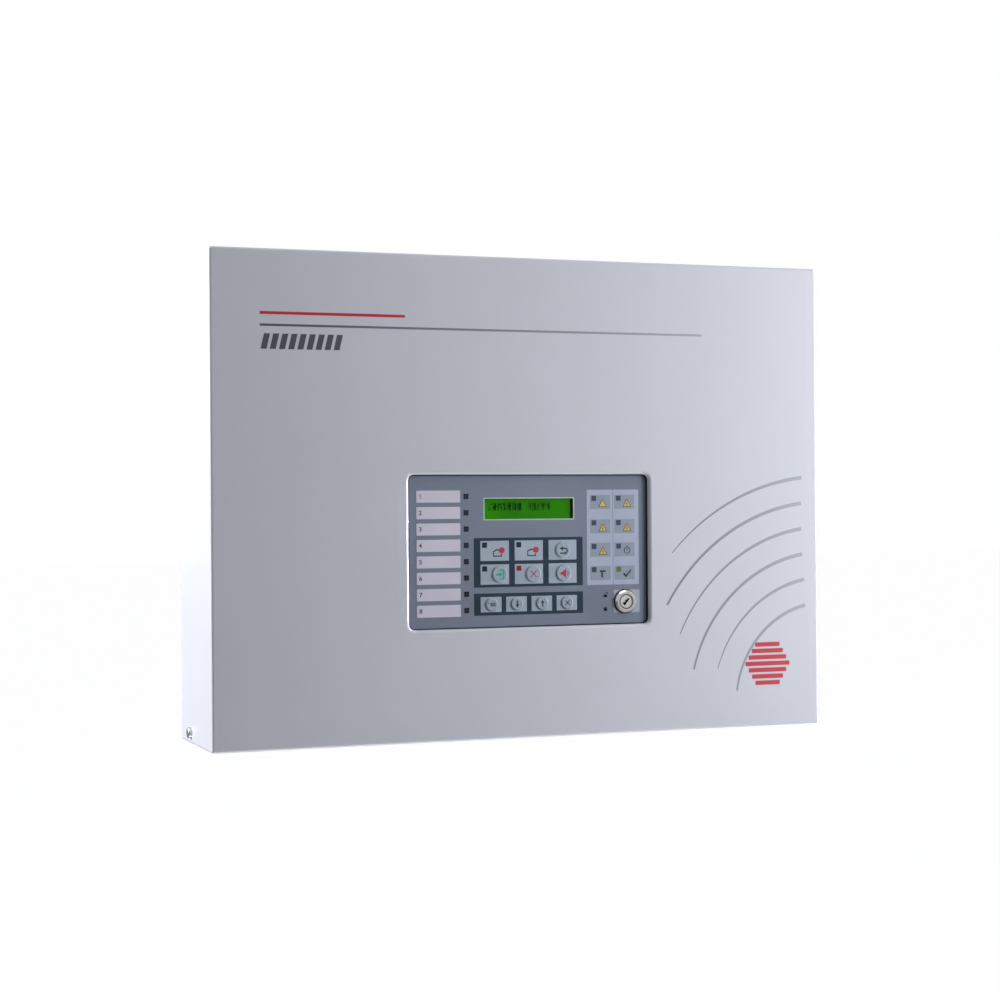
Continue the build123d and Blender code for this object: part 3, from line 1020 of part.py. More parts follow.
def tact_switches():
    """Push switches under the keys, stopped short of the stems by the key travel."""
    top, half = STEM_END - KEY_TRAVEL - KEY_GAP, SWITCH_W / 2
    solids = []
    for x, z, _ in KEYS.values():
        base = block(x - half, x + half, PANEL_FRONT, PANEL_FRONT + SWITCH_T, z - half, z + half)
        solids.append(base + rod(x, z, PANEL_FRONT + SWITCH_T, top, SWITCH_BUTTON_R))
    return solids


def key(x, z, r):
    """Raised dome of the keypad with the stem that reaches its switch."""
    cap = rod(x, z, OVERLAY_FRONT, OVERLAY_FRONT + DOME_T, r)
    cap = fillet(front_edges(cap), DOME_EDGE_R)
    return cap + rod(x, z, STEM_END, OVERLAY_FRONT, STEM_R)


def buzzer():
    """Sounder disc behind the display board, with its sound hole at the back."""
    rear = PANEL_BACK - BUZZER_T
    body = rod(BUZZER_X, BUZZER_Z, rear, PANEL_BACK, BUZZER_R)
    body = fillet(body.faces().sort_by(Axis.Y)[-1].edges(), BUZZER_EDGE)
    return body - rod(BUZZER_X, BUZZER_Z, rear - OVER, rear + SOUND_HOLE_DEEP, SOUND_HOLE_R)


def panel_chips():
    """Driver packages on the back of the display board."""
    rear = PANEL_BACK - PANEL_CHIP_T
    return [block(x - PANEL_CHIP_HALF_W, x + PANEL_CHIP_HALF_W, rear, PANEL_BACK,
                  z - PANEL_CHIP_HALF_L, z + PANEL_CHIP_HALF_L) for x, z in PANEL_CHIPS]


# ---------------------------------------------------------------- key switch
def lock_body():
    collar = rod(LOCK_X, LOCK_Z, OVERLAY_FRONT + TOUCH / 2, LOCK_FACE, LOCK_COLLAR_R)
    collar = chamfer(front_edges(collar), LOCK_COLLAR_EDGE)
    barrel = rod(LOCK_X, LOCK_Z, LOCK_TAIL, OVERLAY_FRONT + 0.5, LOCK_BARREL_R)
    return collar + barrel - rod(LOCK_X, LOCK_Z, LOCK_TAIL - OVER, LOCK_FACE + OVER, LOCK_BORE_R)


def lock_plug():
    """Turning plug with a stepped keyway, drawn at the angle it has when the panel is locked."""
    plug = rod(LOCK_X, LOCK_Z, CAM_FRONT, LOCK_FACE - PLUG_SHY, LOCK_PLUG_R)
    keyway = block(-KEYWAY_HALF, KEYWAY_HALF, 0, KEYWAY_DEEP, -KEYWAY_WIDE_HALF, KEYWAY_WIDE_HALF)
    keyway += block(-2 * KEYWAY_HALF, 0, 0, KEYWAY_DEEP, -KEYWAY_HALF, 2 * KEYWAY_HALF)
    return plug - Pos(LOCK_X, -(LOCK_FACE - KEYWAY_L), LOCK_Z) * Rot(0, KEY_ANGLE, 0) * keyway


def lock_cam():
    """Cam on the plug's tail that works the switch."""
    cam = rod(LOCK_X, LOCK_Z, CAM_REAR, CAM_FRONT, CAM_R)
    return cam + block(LOCK_X - CAM_HALF, LOCK_X + CAM_HALF, CAM_REAR, CAM_FRONT, LOCK_Z, LOCK_Z + CAM_REACH)


def lock_nut():
    front = FLOOR_BACK - LOOSE
    return hexagon(LOCK_X, LOCK_Z, FLOOR_BACK - LOCK_NUT_T, front, LOCK_NUT_ACROSS, LOCK_NUT_BORE_R)


def lock_switch():
    """Miniature switch on the display board, worked by the lock's cam."""
    x0, z0 = SWITCH_BOX_X, SWITCH_BOX_Z
    body = block(x0, x0 + SWITCH_BOX_W, PANEL_BACK - SWITCH_BOX_OUT, PANEL_BACK, z0, z0 + SWITCH_BOX_H)
    return body + block(LOCK_X - SWITCH_PIN_HALF, LOCK_X + SWITCH_PIN_HALF, CAM_REAR, CAM_FRONT,
                        z0 - SWITCH_PIN_L, z0)


# ---------------------------------------------------------------- nodes
def tray_nodes():
    """Everything that stays on the wall."""
    return {
        "back_tray": back_tray(),
        "cable_grommets": cable_grommets(),
        "hinge_pins": hinge_pins(),
        "board_standoffs": board_standoffs(),
        "main_board": main_board(),
        "terminal_blocks": terminal_blocks() + power_sockets(),
        "terminal_screws": terminal_screws(),
        "relays": relays(),
        "chips": chips(),
        "capacitors": capacitors(),
        "fuse_clips": fuse_clips(),
        "glass_fuses": glass_fuses(),
        "heatsink": heatsink(),
        "ribbon_socket": box_socket(SOCKET_Z, BOARD_FRONT, 1),
        "ribbon_plug": ribbon_plug(SOCKET_Z, BOARD_FRONT, 1),
        "supply_case": supply_case(),
        "supply_terminals": supply_terminals(),
        "mains_block": mains_block(),
        "earth_fasteners": earth_fasteners(),
        "battery_cases": battery_cases(),
        "battery_lids": battery_lids(),
        "battery_tabs": battery_tabs(),
        "battery_shelf": battery_shelf(),
        "battery_straps": battery_straps(),
        "chassis_screws": board_screws() + chassis_screws(),
        "lead_lugs": lead_lugs(),
        "lead_red": lead_red(),
        "lead_black": lead_black(),
        "supply_leads": supply_leads(),
        "fuse_lever": fuse_lever(),
        "mains_fuse": mains_fuse(),
    }


def cover_nodes():
    """Everything that swings up with the cover."""
    nodes = {
        "front_cover": front_cover(),
        "hinge_hooks": hinge_hooks(),
        "cover_fasteners": cover_screws() + cover_earth_stud(),
        "earth_lead": earth_lead(),
        "front_overlay": front_overlay(),
        "overlay_seal": overlay_seal(),
        "zone_labels": zone_labels(),
        "lcd_window": lcd_window(),
        "lcd_bezel": lcd_bezel(),
        "lcd_glass": lcd_glass(),
        "lcd_board": lcd_board(),
        "display_board": display_board(),
        "display_fixings": display_spacers() + display_screws() + [lock_nut()],
        "indicator_leds": indicator_leds(),
        "tact_switches": tact_switches(),
        "buzzer": [buzzer()] + panel_chips(),
        "panel_socket": panel_socket(),
        "ribbon_cable": ribbon_cable(),
        "lock_body": lock_body(),
        "lock_switch": lock_switch(),
        "lock_plug": [lock_plug(), lock_cam()],
    }
    for name, place in KEYS.items():
        nodes[name] = key(*place)
    return nodes


def main():
    os.makedirs("parts", exist_ok=True)
    for name, shape in (tray_nodes() | cover_nodes()).items():
        if isinstance(shape, list):
            solids = [s for part in shape for s in part.solids()]
            shape = Compound(children=solids)
        export_step(shape, f"parts/{name}.step")


main()
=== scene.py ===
"""Looks for a wall-mounted fire alarm control panel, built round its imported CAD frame.

Metres throughout.  X is to the right as the panel is read, Z is up, and -Y points out to the reader.
Printed artwork is thin solid geometry laid on the face it is printed on.  Its places are in
millimetres in X and Z from the panel's centre, and `mm` turns them into metres.
"""

import math
import random

import bpy
import bmesh
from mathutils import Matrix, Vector


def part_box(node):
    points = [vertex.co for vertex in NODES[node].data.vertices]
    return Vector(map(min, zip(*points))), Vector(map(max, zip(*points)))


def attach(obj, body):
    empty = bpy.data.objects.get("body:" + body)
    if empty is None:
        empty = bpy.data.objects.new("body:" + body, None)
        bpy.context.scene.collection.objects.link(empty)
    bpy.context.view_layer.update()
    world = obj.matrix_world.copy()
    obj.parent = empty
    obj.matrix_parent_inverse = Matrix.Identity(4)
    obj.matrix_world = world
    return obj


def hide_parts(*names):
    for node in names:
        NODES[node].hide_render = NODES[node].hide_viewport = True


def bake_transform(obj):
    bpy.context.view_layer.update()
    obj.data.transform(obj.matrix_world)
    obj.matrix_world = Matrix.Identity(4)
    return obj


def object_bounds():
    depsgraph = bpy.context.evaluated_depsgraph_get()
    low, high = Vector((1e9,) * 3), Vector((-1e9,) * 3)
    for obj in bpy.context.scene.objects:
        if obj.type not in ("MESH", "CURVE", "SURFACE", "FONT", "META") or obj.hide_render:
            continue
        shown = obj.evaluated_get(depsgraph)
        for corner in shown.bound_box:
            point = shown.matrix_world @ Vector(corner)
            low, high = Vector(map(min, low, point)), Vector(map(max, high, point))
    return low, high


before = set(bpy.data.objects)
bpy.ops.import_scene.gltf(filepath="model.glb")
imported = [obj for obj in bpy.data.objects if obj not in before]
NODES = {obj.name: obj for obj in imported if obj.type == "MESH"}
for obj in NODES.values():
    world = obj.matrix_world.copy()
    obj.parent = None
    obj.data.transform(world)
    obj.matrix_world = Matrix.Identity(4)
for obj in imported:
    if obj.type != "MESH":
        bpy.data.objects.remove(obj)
cad_low, cad_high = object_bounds()
mm = 0.001
INK = 0.05 * mm                    # thickness of one printed layer

FACE_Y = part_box("front_cover")[0].y
OVERLAY_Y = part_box("front_overlay")[0].y
KEYS = ["key_reset", "key_evacuate", "key_disable", "key_sounder",
        "key_enter", "key_down", "key_up", "key_cancel"]


def centre(low, high):
    """Middle of a box as the panel is faced: (x, z) in millimetres."""
    return (low.x + high.x) / 2 / mm, (low.z + high.z) / 2 / mm


LOCK_X, LOCK_Z = centre(*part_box("lock_body"))


def islands(node):
    """(lowest, highest) corner of each separate solid in a CAD node, in metres."""
    mesh = NODES[node].data
    parent = list(range(len(mesh.vertices)))

    def root(i):
        while parent[i] != i:
            parent[i] = parent[parent[i]]
            i = parent[i]
        return i

    seen = {}
    for v in mesh.vertices:
        place = tuple(round(c * 1e6) for c in v.co)
        parent[root(v.index)] = root(seen.setdefault(place, v.index))
    for e in mesh.edges:
        parent[root(e.vertices[0])] = root(e.vertices[1])
    groups = {}
    for v in mesh.vertices:
        groups.setdefault(root(v.index), []).append(v.co)
    found = []
    for points in groups.values():
        low = Vector([min(p[k] for p in points) for k in range(3)])
        high = Vector([max(p[k] for p in points) for k in range(3)])
        found.append((low, high))
    return sorted(found, key=lambda b: (round(b[0].x, 4), -round(b[0].z, 4)))


# ---------------------------------------------------------------- materials
def nodes_of(name):
    m = bpy.data.materials.new(name)
    m.use_nodes = True
    return m, m.node_tree.nodes, m.node_tree.links, m.node_tree.nodes["Principled BSDF"]


def noise(nodes, links, scale, detail=3.0, stretch=(1, 1, 1)):
    """Noise in the object's own metres; `scale` is repeats per metre."""
    place = nodes.new("ShaderNodeTexCoord")
    mapping = nodes.new("ShaderNodeMapping")
    mapping.inputs["Scale"].default_value = stretch
    texture = nodes.new("ShaderNodeTexNoise")
    texture.inputs["Scale"].default_value = scale
    texture.inputs["Detail"].default_value = detail
    links.new(place.outputs["Object"], mapping.inputs["Vector"])
    links.new(mapping.outputs["Vector"], texture.inputs["Vector"])
    return texture.outputs["Fac"]


def spread(nodes, links, source, low, high):
    """Maps the middle of a noise onto low..high."""
    ramp = nodes.new("ShaderNodeMapRange")
    ramp.inputs["From Min"].default_value = 0.3
    ramp.inputs["From Max"].default_value = 0.7
    ramp.inputs["To Min"].default_value = low
    ramp.inputs["To Max"].default_value = high
    links.new(source, ramp.inputs["Value"])
    return ramp.outputs["Result"]


def surface(name, colour, rough=0.5, metal=0.0, vary=0.06, patch=60.0, grain=900.0, bump=0.08,
            stretch=(1, 1, 1), coat=0.0, edge=0.0, glow=0.0, specular=0.5):
    """A material with patchy colour, uneven gloss, a fine surface grain and optional lighter worn edges."""
    m, nodes, links, shader = nodes_of(name)
    shader.inputs["Metallic"].default_value = metal
    shader.inputs["Specular IOR Level"].default_value = specular
    shader.inputs["Coat Weight"].default_value = coat
    shader.inputs["Coat Roughness"].default_value = 0.15
    mix = nodes.new("ShaderNodeMix")
    mix.data_type = "RGBA"
    mix.inputs["A"].default_value = (*[c * (1 - vary) for c in colour], 1)
    mix.inputs["B"].default_value = (*[min(1, c * (1 + vary)) for c in colour], 1)
    cloud = noise(nodes, links, patch, 4.0, stretch)
    links.new(spread(nodes, links, cloud, 0, 1), mix.inputs["Factor"])
    tone = mix.outputs["Result"]
    if edge:
        tone = worn(nodes, links, tone, edge)
    links.new(tone, shader.inputs["Base Color"])
    fine = noise(nodes, links, grain, 2.0, stretch)
    links.new(spread(nodes, links, fine, rough * 0.85, min(1, rough * 1.15)), shader.inputs["Roughness"])
    lift = nodes.new("ShaderNodeBump")
    lift.inputs["Strength"].default_value = bump
    lift.inputs["Distance"].default_value = 0.0002
    links.new(fine, lift.inputs["Height"])
    links.new(lift.outputs["Normal"], shader.inputs["Normal"])
    if glow:
        shader.inputs["Emission Strength"].default_value = glow
        links.new(tone, shader.inputs["Emission Color"])
    return m


def worn(nodes, links, tone, amount):
    """Lightens sharp outer edges, as handling does."""
    point = nodes.new("ShaderNodeNewGeometry")
    sharp = nodes.new("ShaderNodeMapRange")
    sharp.inputs["From Min"].default_value = 0.52
    sharp.inputs["From Max"].default_value = 0.60
    sharp.inputs["To Max"].default_value = amount
    links.new(point.outputs["Pointiness"], sharp.inputs["Value"])
    mix = nodes.new("ShaderNodeMix")
    mix.data_type = "RGBA"
    mix.inputs["B"].default_value = (0.9, 0.9, 0.9, 1)
    links.new(sharp.outputs["Result"], mix.inputs["Factor"])
    links.new(tone, mix.inputs["A"])
    return mix.outputs["Result"]


def fading(name, dark, light, x0, x1, rough=0.5):
    """Ink that runs from one tone to another along X."""
    m, nodes, links, shader = nodes_of(name)
    place = nodes.new("ShaderNodeTexCoord")
    split = nodes.new("ShaderNodeSeparateXYZ")
    across = nodes.new("ShaderNodeMapRange")
    across.inputs["From Min"].default_value = x0 * mm
    across.inputs["From Max"].default_value = x1 * mm
    mix = nodes.new("ShaderNodeMix")
    mix.data_type = "RGBA"
    mix.inputs["A"].default_value = (*dark, 1)
    mix.inputs["B"].default_value = (*light, 1)
    shader.inputs["Roughness"].default_value = rough
    links.new(place.outputs["Object"], split.inputs["Vector"])
    links.new(split.outputs["X"], across.inputs["Value"])
    links.new(across.outputs["Result"], mix.inputs["Factor"])
    links.new(mix.outputs["Result"], shader.inputs["Base Color"])
    return m


def clear(name, colour, rough=0.03, ior=1.45):
    m, nodes, links, shader = nodes_of(name)
    shader.inputs["Base Color"].default_value = (*colour, 1)
    shader.inputs["Transmission Weight"].default_value = 1.0
    shader.inputs["IOR"].default_value = ior
    links.new(spread(nodes, links, noise(nodes, links, 400), rough * 0.7, rough * 1.6),
              shader.inputs["Roughness"])
    return m


ZINC = dict(rough=0.34, metal=0.9, vary=0.12, patch=35, grain=700, bump=0.05, edge=0.2)
MATERIALS = {
    "powder": surface("powder", (0.56, 0.575, 0.635), 0.42, vary=0.012, patch=18, grain=1500, bump=0.10,
                      coat=0.3),
    "zinc": surface("zinc", (0.58, 0.59, 0.6), **ZINC),
    "brushed": surface("brushed", (0.62, 0.62, 0.62), 0.3, 0.95, 0.08, 60, 1200, 0.12, (1, 1, 14)),
    "brass": surface("brass", (0.72, 0.52, 0.2), 0.28, 1.0, 0.1),
    "nickel": surface("nickel", (0.88, 0.87, 0.85), 0.17, 0.6, 0.06, 200, 1800, 0.04, edge=0.3),
    "plug": surface("plug", (0.86, 0.83, 0.79), 0.24, 0.5, 0.1, 300, 1800, 0.08),
    "alloy": surface("alloy", (0.12, 0.12, 0.125), 0.42, 0.6, 0.1, 80, 900, 0.1, (14, 1, 1), edge=0.3),
    "rubber": surface("rubber", (0.02, 0.02, 0.021), 0.75, vary=0.2, grain=500, bump=0.2),
    "seal": surface("seal", (0.006, 0.007, 0.011), 0.7, vary=0.15, grain=900, bump=0.2, specular=0.2),
    "board": surface("board", (0.012, 0.10, 0.045), 0.35, vary=0.25, patch=220, grain=600, coat=0.5),
    "terminal": surface("terminal", (0.04, 0.22, 0.09), 0.45, vary=0.08, edge=0.12),
    "black": surface("black", (0.022, 0.022, 0.024), 0.5, vary=0.15, grain=1200, bump=0.15, edge=0.06),
    "relay": surface("relay", (0.02, 0.06, 0.16), 0.35, vary=0.08, edge=0.1, coat=0.3),
    "sleeve": surface("sleeve", (0.02, 0.035, 0.12), 0.25, vary=0.06, coat=0.6),
    "battery": surface("battery", (0.05, 0.055, 0.062), 0.55, vary=0.12, grain=350, bump=0.25, edge=0.10),
    "lid": surface("lid", (0.025, 0.026, 0.03), 0.5, vary=0.1, grain=350, bump=0.2, edge=0.10),
    "glass": clear("glass", (0.9, 0.96, 0.95)),
    "window": clear("window", (0.93, 1.0, 0.93), 0.02, 1.12),
    "overlay": surface("overlay", (0.185, 0.215, 0.285), 0.34, vary=0.03, patch=40, grain=2200, bump=0.12,
                       coat=0.15),
    "paper": surface("paper", (0.60, 0.58, 0.66), 0.7, vary=0.02, grain=2500, bump=0.2),
    "cap": surface("cap", (0.35, 0.415, 0.50), 0.28, vary=0.02, grain=1800, coat=0.4),
    "lens": surface("lens", (0.5, 0.5, 0.46), 0.3, vary=0.05),
    "red_pvc": surface("red_pvc", (0.5, 0.012, 0.01), 0.4, vary=0.05),
    "black_pvc": surface("black_pvc", (0.018, 0.018, 0.018), 0.4, vary=0.1),
    "blue_pvc": surface("blue_pvc", (0.02, 0.06, 0.32), 0.4, vary=0.06),
    "green_pvc": surface("green_pvc", (0.10, 0.42, 0.04), 0.4, vary=0.08),
    "ribbon": surface("ribbon", (0.36, 0.37, 0.38), 0.42, vary=0.05),
}
CAD_LOOKS = {
    "front_cover": "powder", "back_tray": "zinc", "cable_grommets": "rubber", "hinge_pins": "brushed",
    "hinge_hooks": "zinc", "board_standoffs": "brass", "main_board": "board",
    "terminal_blocks": "terminal", "terminal_screws": "zinc", "relays": "relay", "chips": "black",
    "capacitors": "sleeve", "fuse_clips": "brass", "glass_fuses": "glass", "heatsink": "alloy",
    "ribbon_socket": "black", "ribbon_plug": "black", "supply_case": "brushed",
    "supply_terminals": "black", "mains_block": "paper", "earth_fasteners": "brass",
    "battery_cases": "battery", "battery_lids": "lid", "battery_tabs": "brass", "battery_shelf": "zinc",
    "battery_straps": "zinc", "chassis_screws": "zinc", "lead_lugs": "red_pvc", "lead_red": "red_pvc",
    "lead_black": "black_pvc", "supply_leads": "blue_pvc", "fuse_lever": "black", "mains_fuse": "glass",
    "cover_fasteners": "zinc", "front_overlay": "overlay", "zone_labels": "paper",
    "lcd_window": "window", "lcd_bezel": "black", "lcd_glass": "black", "lcd_board": "board",
    "display_board": "board", "display_fixings": "zinc", "indicator_leds": "lens",
    "tact_switches": "black", "buzzer": "black", "panel_socket": "black", "lock_body": "nickel",
    "lock_switch": "black", "lock_plug": "plug", "overlay_seal": "seal",
}


def dress_cad():
    for node, look in CAD_LOOKS.items():
        paint(NODES[node], MATERIALS[look])
    for name in KEYS:
        paint(NODES[name], MATERIALS["cap"])


def paint(obj, material):
    if not obj.data.materials:
        obj.data.materials.append(material)
    for k in range(len(obj.data.materials)):
        obj.data.materials[k] = material
    return obj


# ---------------------------------------------------------------- flat outlines, in millimetres
def circle(x, z, r, steps=40):
    return [(x + r * math.cos(2 * math.pi * k / steps), z + r * math.sin(2 * math.pi * k / steps))
            for k in range(steps)]


def arc(x, z, r, start, end, steps=20):
    """Points on an arc between two angles in degrees."""
    found = []
    for k in range(steps + 1):
        a = math.radians(start + (end - start) * k / steps)
        found.append((x + r * math.cos(a), z + r * math.sin(a)))
    return found


def rect(x, z, w, h, r=0.0):
    """Rectangle centred on (x, z), with corners rounded to `r` if that is given."""
    if r <= 0:
        left, right, low, high = x - w / 2, x + w / 2, z - h / 2, z + h / 2
        return [(left, low), (right, low), (right, high), (left, high)]
    cx, cz = w / 2 - r, h / 2 - r
    loop = arc(x + cx, z + cz, r, 0, 90, 5) + arc(x - cx, z + cz, r, 90, 180, 5)
    return loop + arc(x - cx, z - cz, r, 180, 270, 5) + arc(x + cx, z - cz, r, 270, 360, 5)


def band(points, width, tip=None):
    """Outline of a stroke along points; `tip` is its width at the far end if it tapers."""
    tip = width if tip is None else tip
    left, right = [], []
    last = len(points) - 1
    for k, point in enumerate(points):
        here = Vector(point)
        before = (here - Vector(points[max(k - 1, 0)])).normalized()
        after = (Vector(points[min(k + 1, last)]) - here).normalized()
        if k == 0:
            before = after
        if k == last:
            after = before
        along = (before + after).normalized()
        normal = Vector((-along.y, along.x))
        lean = max(0.35, before.dot(along))
        half = (width + (tip - width) * k / max(last, 1)) / 2 / lean
        left.append(tuple(here + normal * half))
        right.append(tuple(here - normal * half))
    return left + right[::-1]


def moved(loops, x, z, size=1.0):
    return [[(x + px * size, z + pz * size) for px, pz in loop] for loop in loops]


def sheet(loops, y, thickness):
    """Mesh of one filled figure: an outline, and any outlines inside it as holes."""
    curve = bpy.data.curves.new("figure", "CURVE")
    curve.dimensions = "2D"
    curve.fill_mode = "BOTH"
    curve.extrude = thickness / 2
    for loop in loops:
        spline = curve.splines.new("POLY")
        spline.points.add(len(loop) - 1)
        spline.use_cyclic_u = True
        for point, (px, pz) in zip(spline.points, loop):
            point.co = (px * mm, pz * mm, 0, 1)
    holder = bpy.data.objects.new("figure", curve)
    bpy.context.scene.collection.objects.link(holder)
    bpy.context.view_layer.update()
    mesh = bpy.data.meshes.new_from_object(holder)
    bpy.data.objects.remove(holder)
    for v in mesh.vertices:
        px, pz, across = v.co
        v.co = (px, y - thickness / 2 - across, pz)
    return mesh


def joined(name, meshes, material, body):
    bm = bmesh.new()
    for mesh in meshes:
        bm.from_mesh(mesh)
    bmesh.ops.remove_doubles(bm, verts=bm.verts, dist=1e-7)
    bmesh.ops.recalc_face_normals(bm, faces=bm.faces)
    whole = bpy.data.meshes.new(name)
    bm.to_mesh(whole)
    bm.free()
    return placed(name, whole, material, body)


def placed(name, mesh, material, body):
    obj = bpy.data.objects.new(name, mesh)
    bpy.context.scene.collection.objects.link(obj)
    paint(obj, material)
    if body:
        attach(obj, body)
    return obj


def printed(name, figures, y, material, body="cover", level=0, thickness=INK):
    """Artwork made of separate figures; `level` counts the printed layers under it."""
    base = y - level * INK
    return joined(name, [sheet(f, base, thickness) for f in figures], material, body)


def ink(name, colour, rough=0.45, glow=0.0, specular=0.5):
    return surface(name, colour, rough, vary=0.03, patch=120, grain=2200, bump=0.05, glow=glow,
                   specular=specular)


# ---------------------------------------------------------------- artwork on the cover's face
LINE_LEFT, RED_RIGHT, GREY_RIGHT = -186.8, -88.6, 129.0
RED_Z, GREY_Z, BARS_Z = 120.3, 112.5, 102.0
RED_RULE_H, GREY_RULE_H = 1.9, 1.5
BAR_COUNT, BAR_PITCH, BAR_INDENT = 9, 6.1, 3.6
BAR_HALF_W, BAR_HALF_H, BAR_LEAN = 2, 5, 1.2


def cover_artwork():
    """Two rules and a row of slanted bars at the upper left."""
    red_mid, grey_mid = (LINE_LEFT + RED_RIGHT) / 2, (LINE_LEFT + GREY_RIGHT) / 2
    red = ink("print_red", (0.50, 0.015, 0.025))
    red_rule = rect(red_mid, RED_Z, RED_RIGHT - LINE_LEFT, RED_RULE_H)
    printed("printed_red_rule", [[red_rule]], FACE_Y, red)
    grey = fading("print_grey", (0.055, 0.06, 0.08), (0.33, 0.34, 0.39), LINE_LEFT, GREY_RIGHT)
    grey_rule = rect(grey_mid, GREY_Z, GREY_RIGHT - LINE_LEFT, GREY_RULE_H)
    printed("printed_grey_rule", [[grey_rule]], FACE_Y, grey)
    dark = ink("print_dark", (0.06, 0.065, 0.085))
    foot, head = BARS_Z - BAR_HALF_H, BARS_Z + BAR_HALF_H
    bars = []
    for k in range(BAR_COUNT):
        x = LINE_LEFT + BAR_INDENT + BAR_PITCH * k
        left, right = x - BAR_HALF_W, x + BAR_HALF_W
        bars.append([[(left - BAR_LEAN, foot), (right - BAR_LEAN, foot),
                      (right + BAR_LEAN, head), (left + BAR_LEAN, head)]])
    printed("printed_plain_bars", bars, FACE_Y, dark)
    cover_ornament()


ART_X, ART_Z = 224.0, -146.0       # common centre of the printed arcs
ART_LEFT, ART_RIGHT = 95, 212      # where their tone starts and stops fading
ARCS = ((70, 102, 172), (88, 100, 163), (106, 99, 166),    # radius, then start and end in degrees
        (124, 98, 156), (142, 97, 150), (160, 96, 138))
ARC_STEPS, ARC_W, ARC_TIPS = 36, 2.7, (1.4, 0.7)           # tips in turn, from the inner arc out
BADGE_X, BADGE_Z, BADGE_R = 179.0, -118.0, 18.0
HATCH_COUNT, HATCH_TOP, HATCH_STEP, HATCH_DEEP = 7, 0.75, 0.25, 0.17   # in badge radii
HATCH_TRIM, HATCH_CORNER = 1.0, 0.6


def cover_ornament():
    """Plain concentric arcs and a plain hatched badge in the lower right corner."""
    silver = fading("print_silver", (0.19, 0.195, 0.22), (0.36, 0.37, 0.42), ART_LEFT, ART_RIGHT)
    arcs = []
    for k, (r, start, end) in enumerate(ARCS):
        points = arc(ART_X, ART_Z, r, start, end, ARC_STEPS)
        arcs.append([band(points, ARC_W, ARC_TIPS[k % 2])])
    printed("printed_arcs", arcs, FACE_Y, silver)
    red = ink("print_hexagon", (0.50, 0.012, 0.03))
    hatch = []
    for k in range(HATCH_COUNT):
        level = BADGE_R * (HATCH_TOP - HATCH_STEP * k)
        reach = BADGE_R - abs(level) / math.sqrt(3)
        stripe = rect(BADGE_X, BADGE_Z + level, 2 * reach - HATCH_TRIM, BADGE_R * HATCH_DEEP, HATCH_CORNER)
        hatch.append([stripe])
    printed("printed_hatched_badge", hatch, FACE_Y, red)


# ---------------------------------------------------------------- artwork on the overlay
UPPER = (-0.35, -43.4, 79.3, 33.2)         # fields: x and z of the middle, width, height
LOWER = (-0.35, -71.5, 79.3, 14.8)
STATUS = (62.0, -27.35, 38.8, 65.3)
LOCK_FIELD = (72.0, -71.5, 19.6, 15.7)
STATUS_GAP = 0.15                          # half the gap down the middle of the status field
KEY_CLEAR, COLLAR_CLEAR_R = 0.12, 7.9      # print stops short of the domes and of the lock's collar
BORDER_W, BORDER_R = 0.8, 0.4              # pale line round the display window
FACE_XS, FACE_ZS, FACE_W, FACE_H = (-25.0, -0.3, 24.4), (-35.5, -51.4), 20.5, 13.5
SMALL_XS, SMALL_Z, SMALL_W, SMALL_H = (-27.8, -9.5, 8.9, 27.3), -71.6, 15.0, 10.2
CELL_XS, CELL_ZS, CELL_W, CELL_H = (52.5, 70.7), (-3.1, -19.9, -35.9, -51.9), 15.2, 9.6
LAMP_SQUARE, LAMP_SQUARE_R, GLINT_R = 3.5, 0.15, 1.1
RED_LAMP, GREEN_LAMP, STATUS_LEFT = (-7.6, -47.5), (66.2, -49.5), 40


def key_place(name):
    """(x, z, radius) of a key's dome, in millimetres."""
    low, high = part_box(name)
    return *centre(low, high), (high.x - low.x) / 2 / mm


def with_key_holes(loop):
    """A figure cut out round each key dome that stands inside it."""
    xs, zs = [p[0] for p in loop], [p[1] for p in loop]
    figure = [loop]
    for name in KEYS:
        x, z, r = key_place(name)
        if min(xs) < x < max(xs) and min(zs) < z < max(zs):
            figure.append(circle(x, z, r + KEY_CLEAR))
    return figure


def overlay_artwork():
    """Fields behind the keys, the status lamps, the lock and the display."""
    slate = ink("print_slate", (0.016, 0.033, 0.058), specular=0.25)
    printed("printed_key_fields", [with_key_holes(rect(*UPPER, 0.6)), with_key_holes(rect(*LOWER, 0.6))],
            OVERLAY_Y, slate)
    pale = ink("print_pale", (0.35, 0.415, 0.50))
    faces = [with_key_holes(rect(x, z, FACE_W, FACE_H, 0.3)) for x in FACE_XS for z in FACE_ZS]
    faces += [with_key_holes(rect(x, SMALL_Z, SMALL_W, SMALL_H, 0.3)) for x in SMALL_XS]
    printed("printed_key_faces", faces, OVERLAY_Y, pale, level=1)
    lilac = ink("print_lilac", (0.40, 0.45, 0.57))
    x, z, w, h = STATUS
    half = w / 2 - STATUS_GAP
    halves = [[rect(x + s * (half / 2 + STATUS_GAP), z, half, h, 0.3)] for s in (-1, 1)]
    printed("printed_status_field", halves, OVERLAY_Y, lilac)
    cell = ink("print_cell", (0.275, 0.32, 0.40))
    cells = [[rect(x, z, CELL_W, CELL_H, 0.2)] for x in CELL_XS for z in CELL_ZS]
    printed("printed_status_cells", cells, OVERLAY_Y, cell, level=1)
    patch = [rect(*LOCK_FIELD, 0.3), circle(LOCK_X, LOCK_Z, COLLAR_CLEAR_R, 48)]
    printed("printed_lock_field", [patch], OVERLAY_Y, ink("print_patch", (0.36, 0.40, 0.48)))
    low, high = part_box("lcd_window")
    x, z = centre(low, high)
    w, h = (high.x - low.x) / mm, (high.z - low.z) / mm
    border = [rect(x, z, w + 2 * BORDER_W, h + 2 * BORDER_W, BORDER_R), rect(x, z, w, h)]
    printed("printed_display_border", [border], OVERLAY_Y, ink("print_border", (0.40, 0.56, 0.40)))


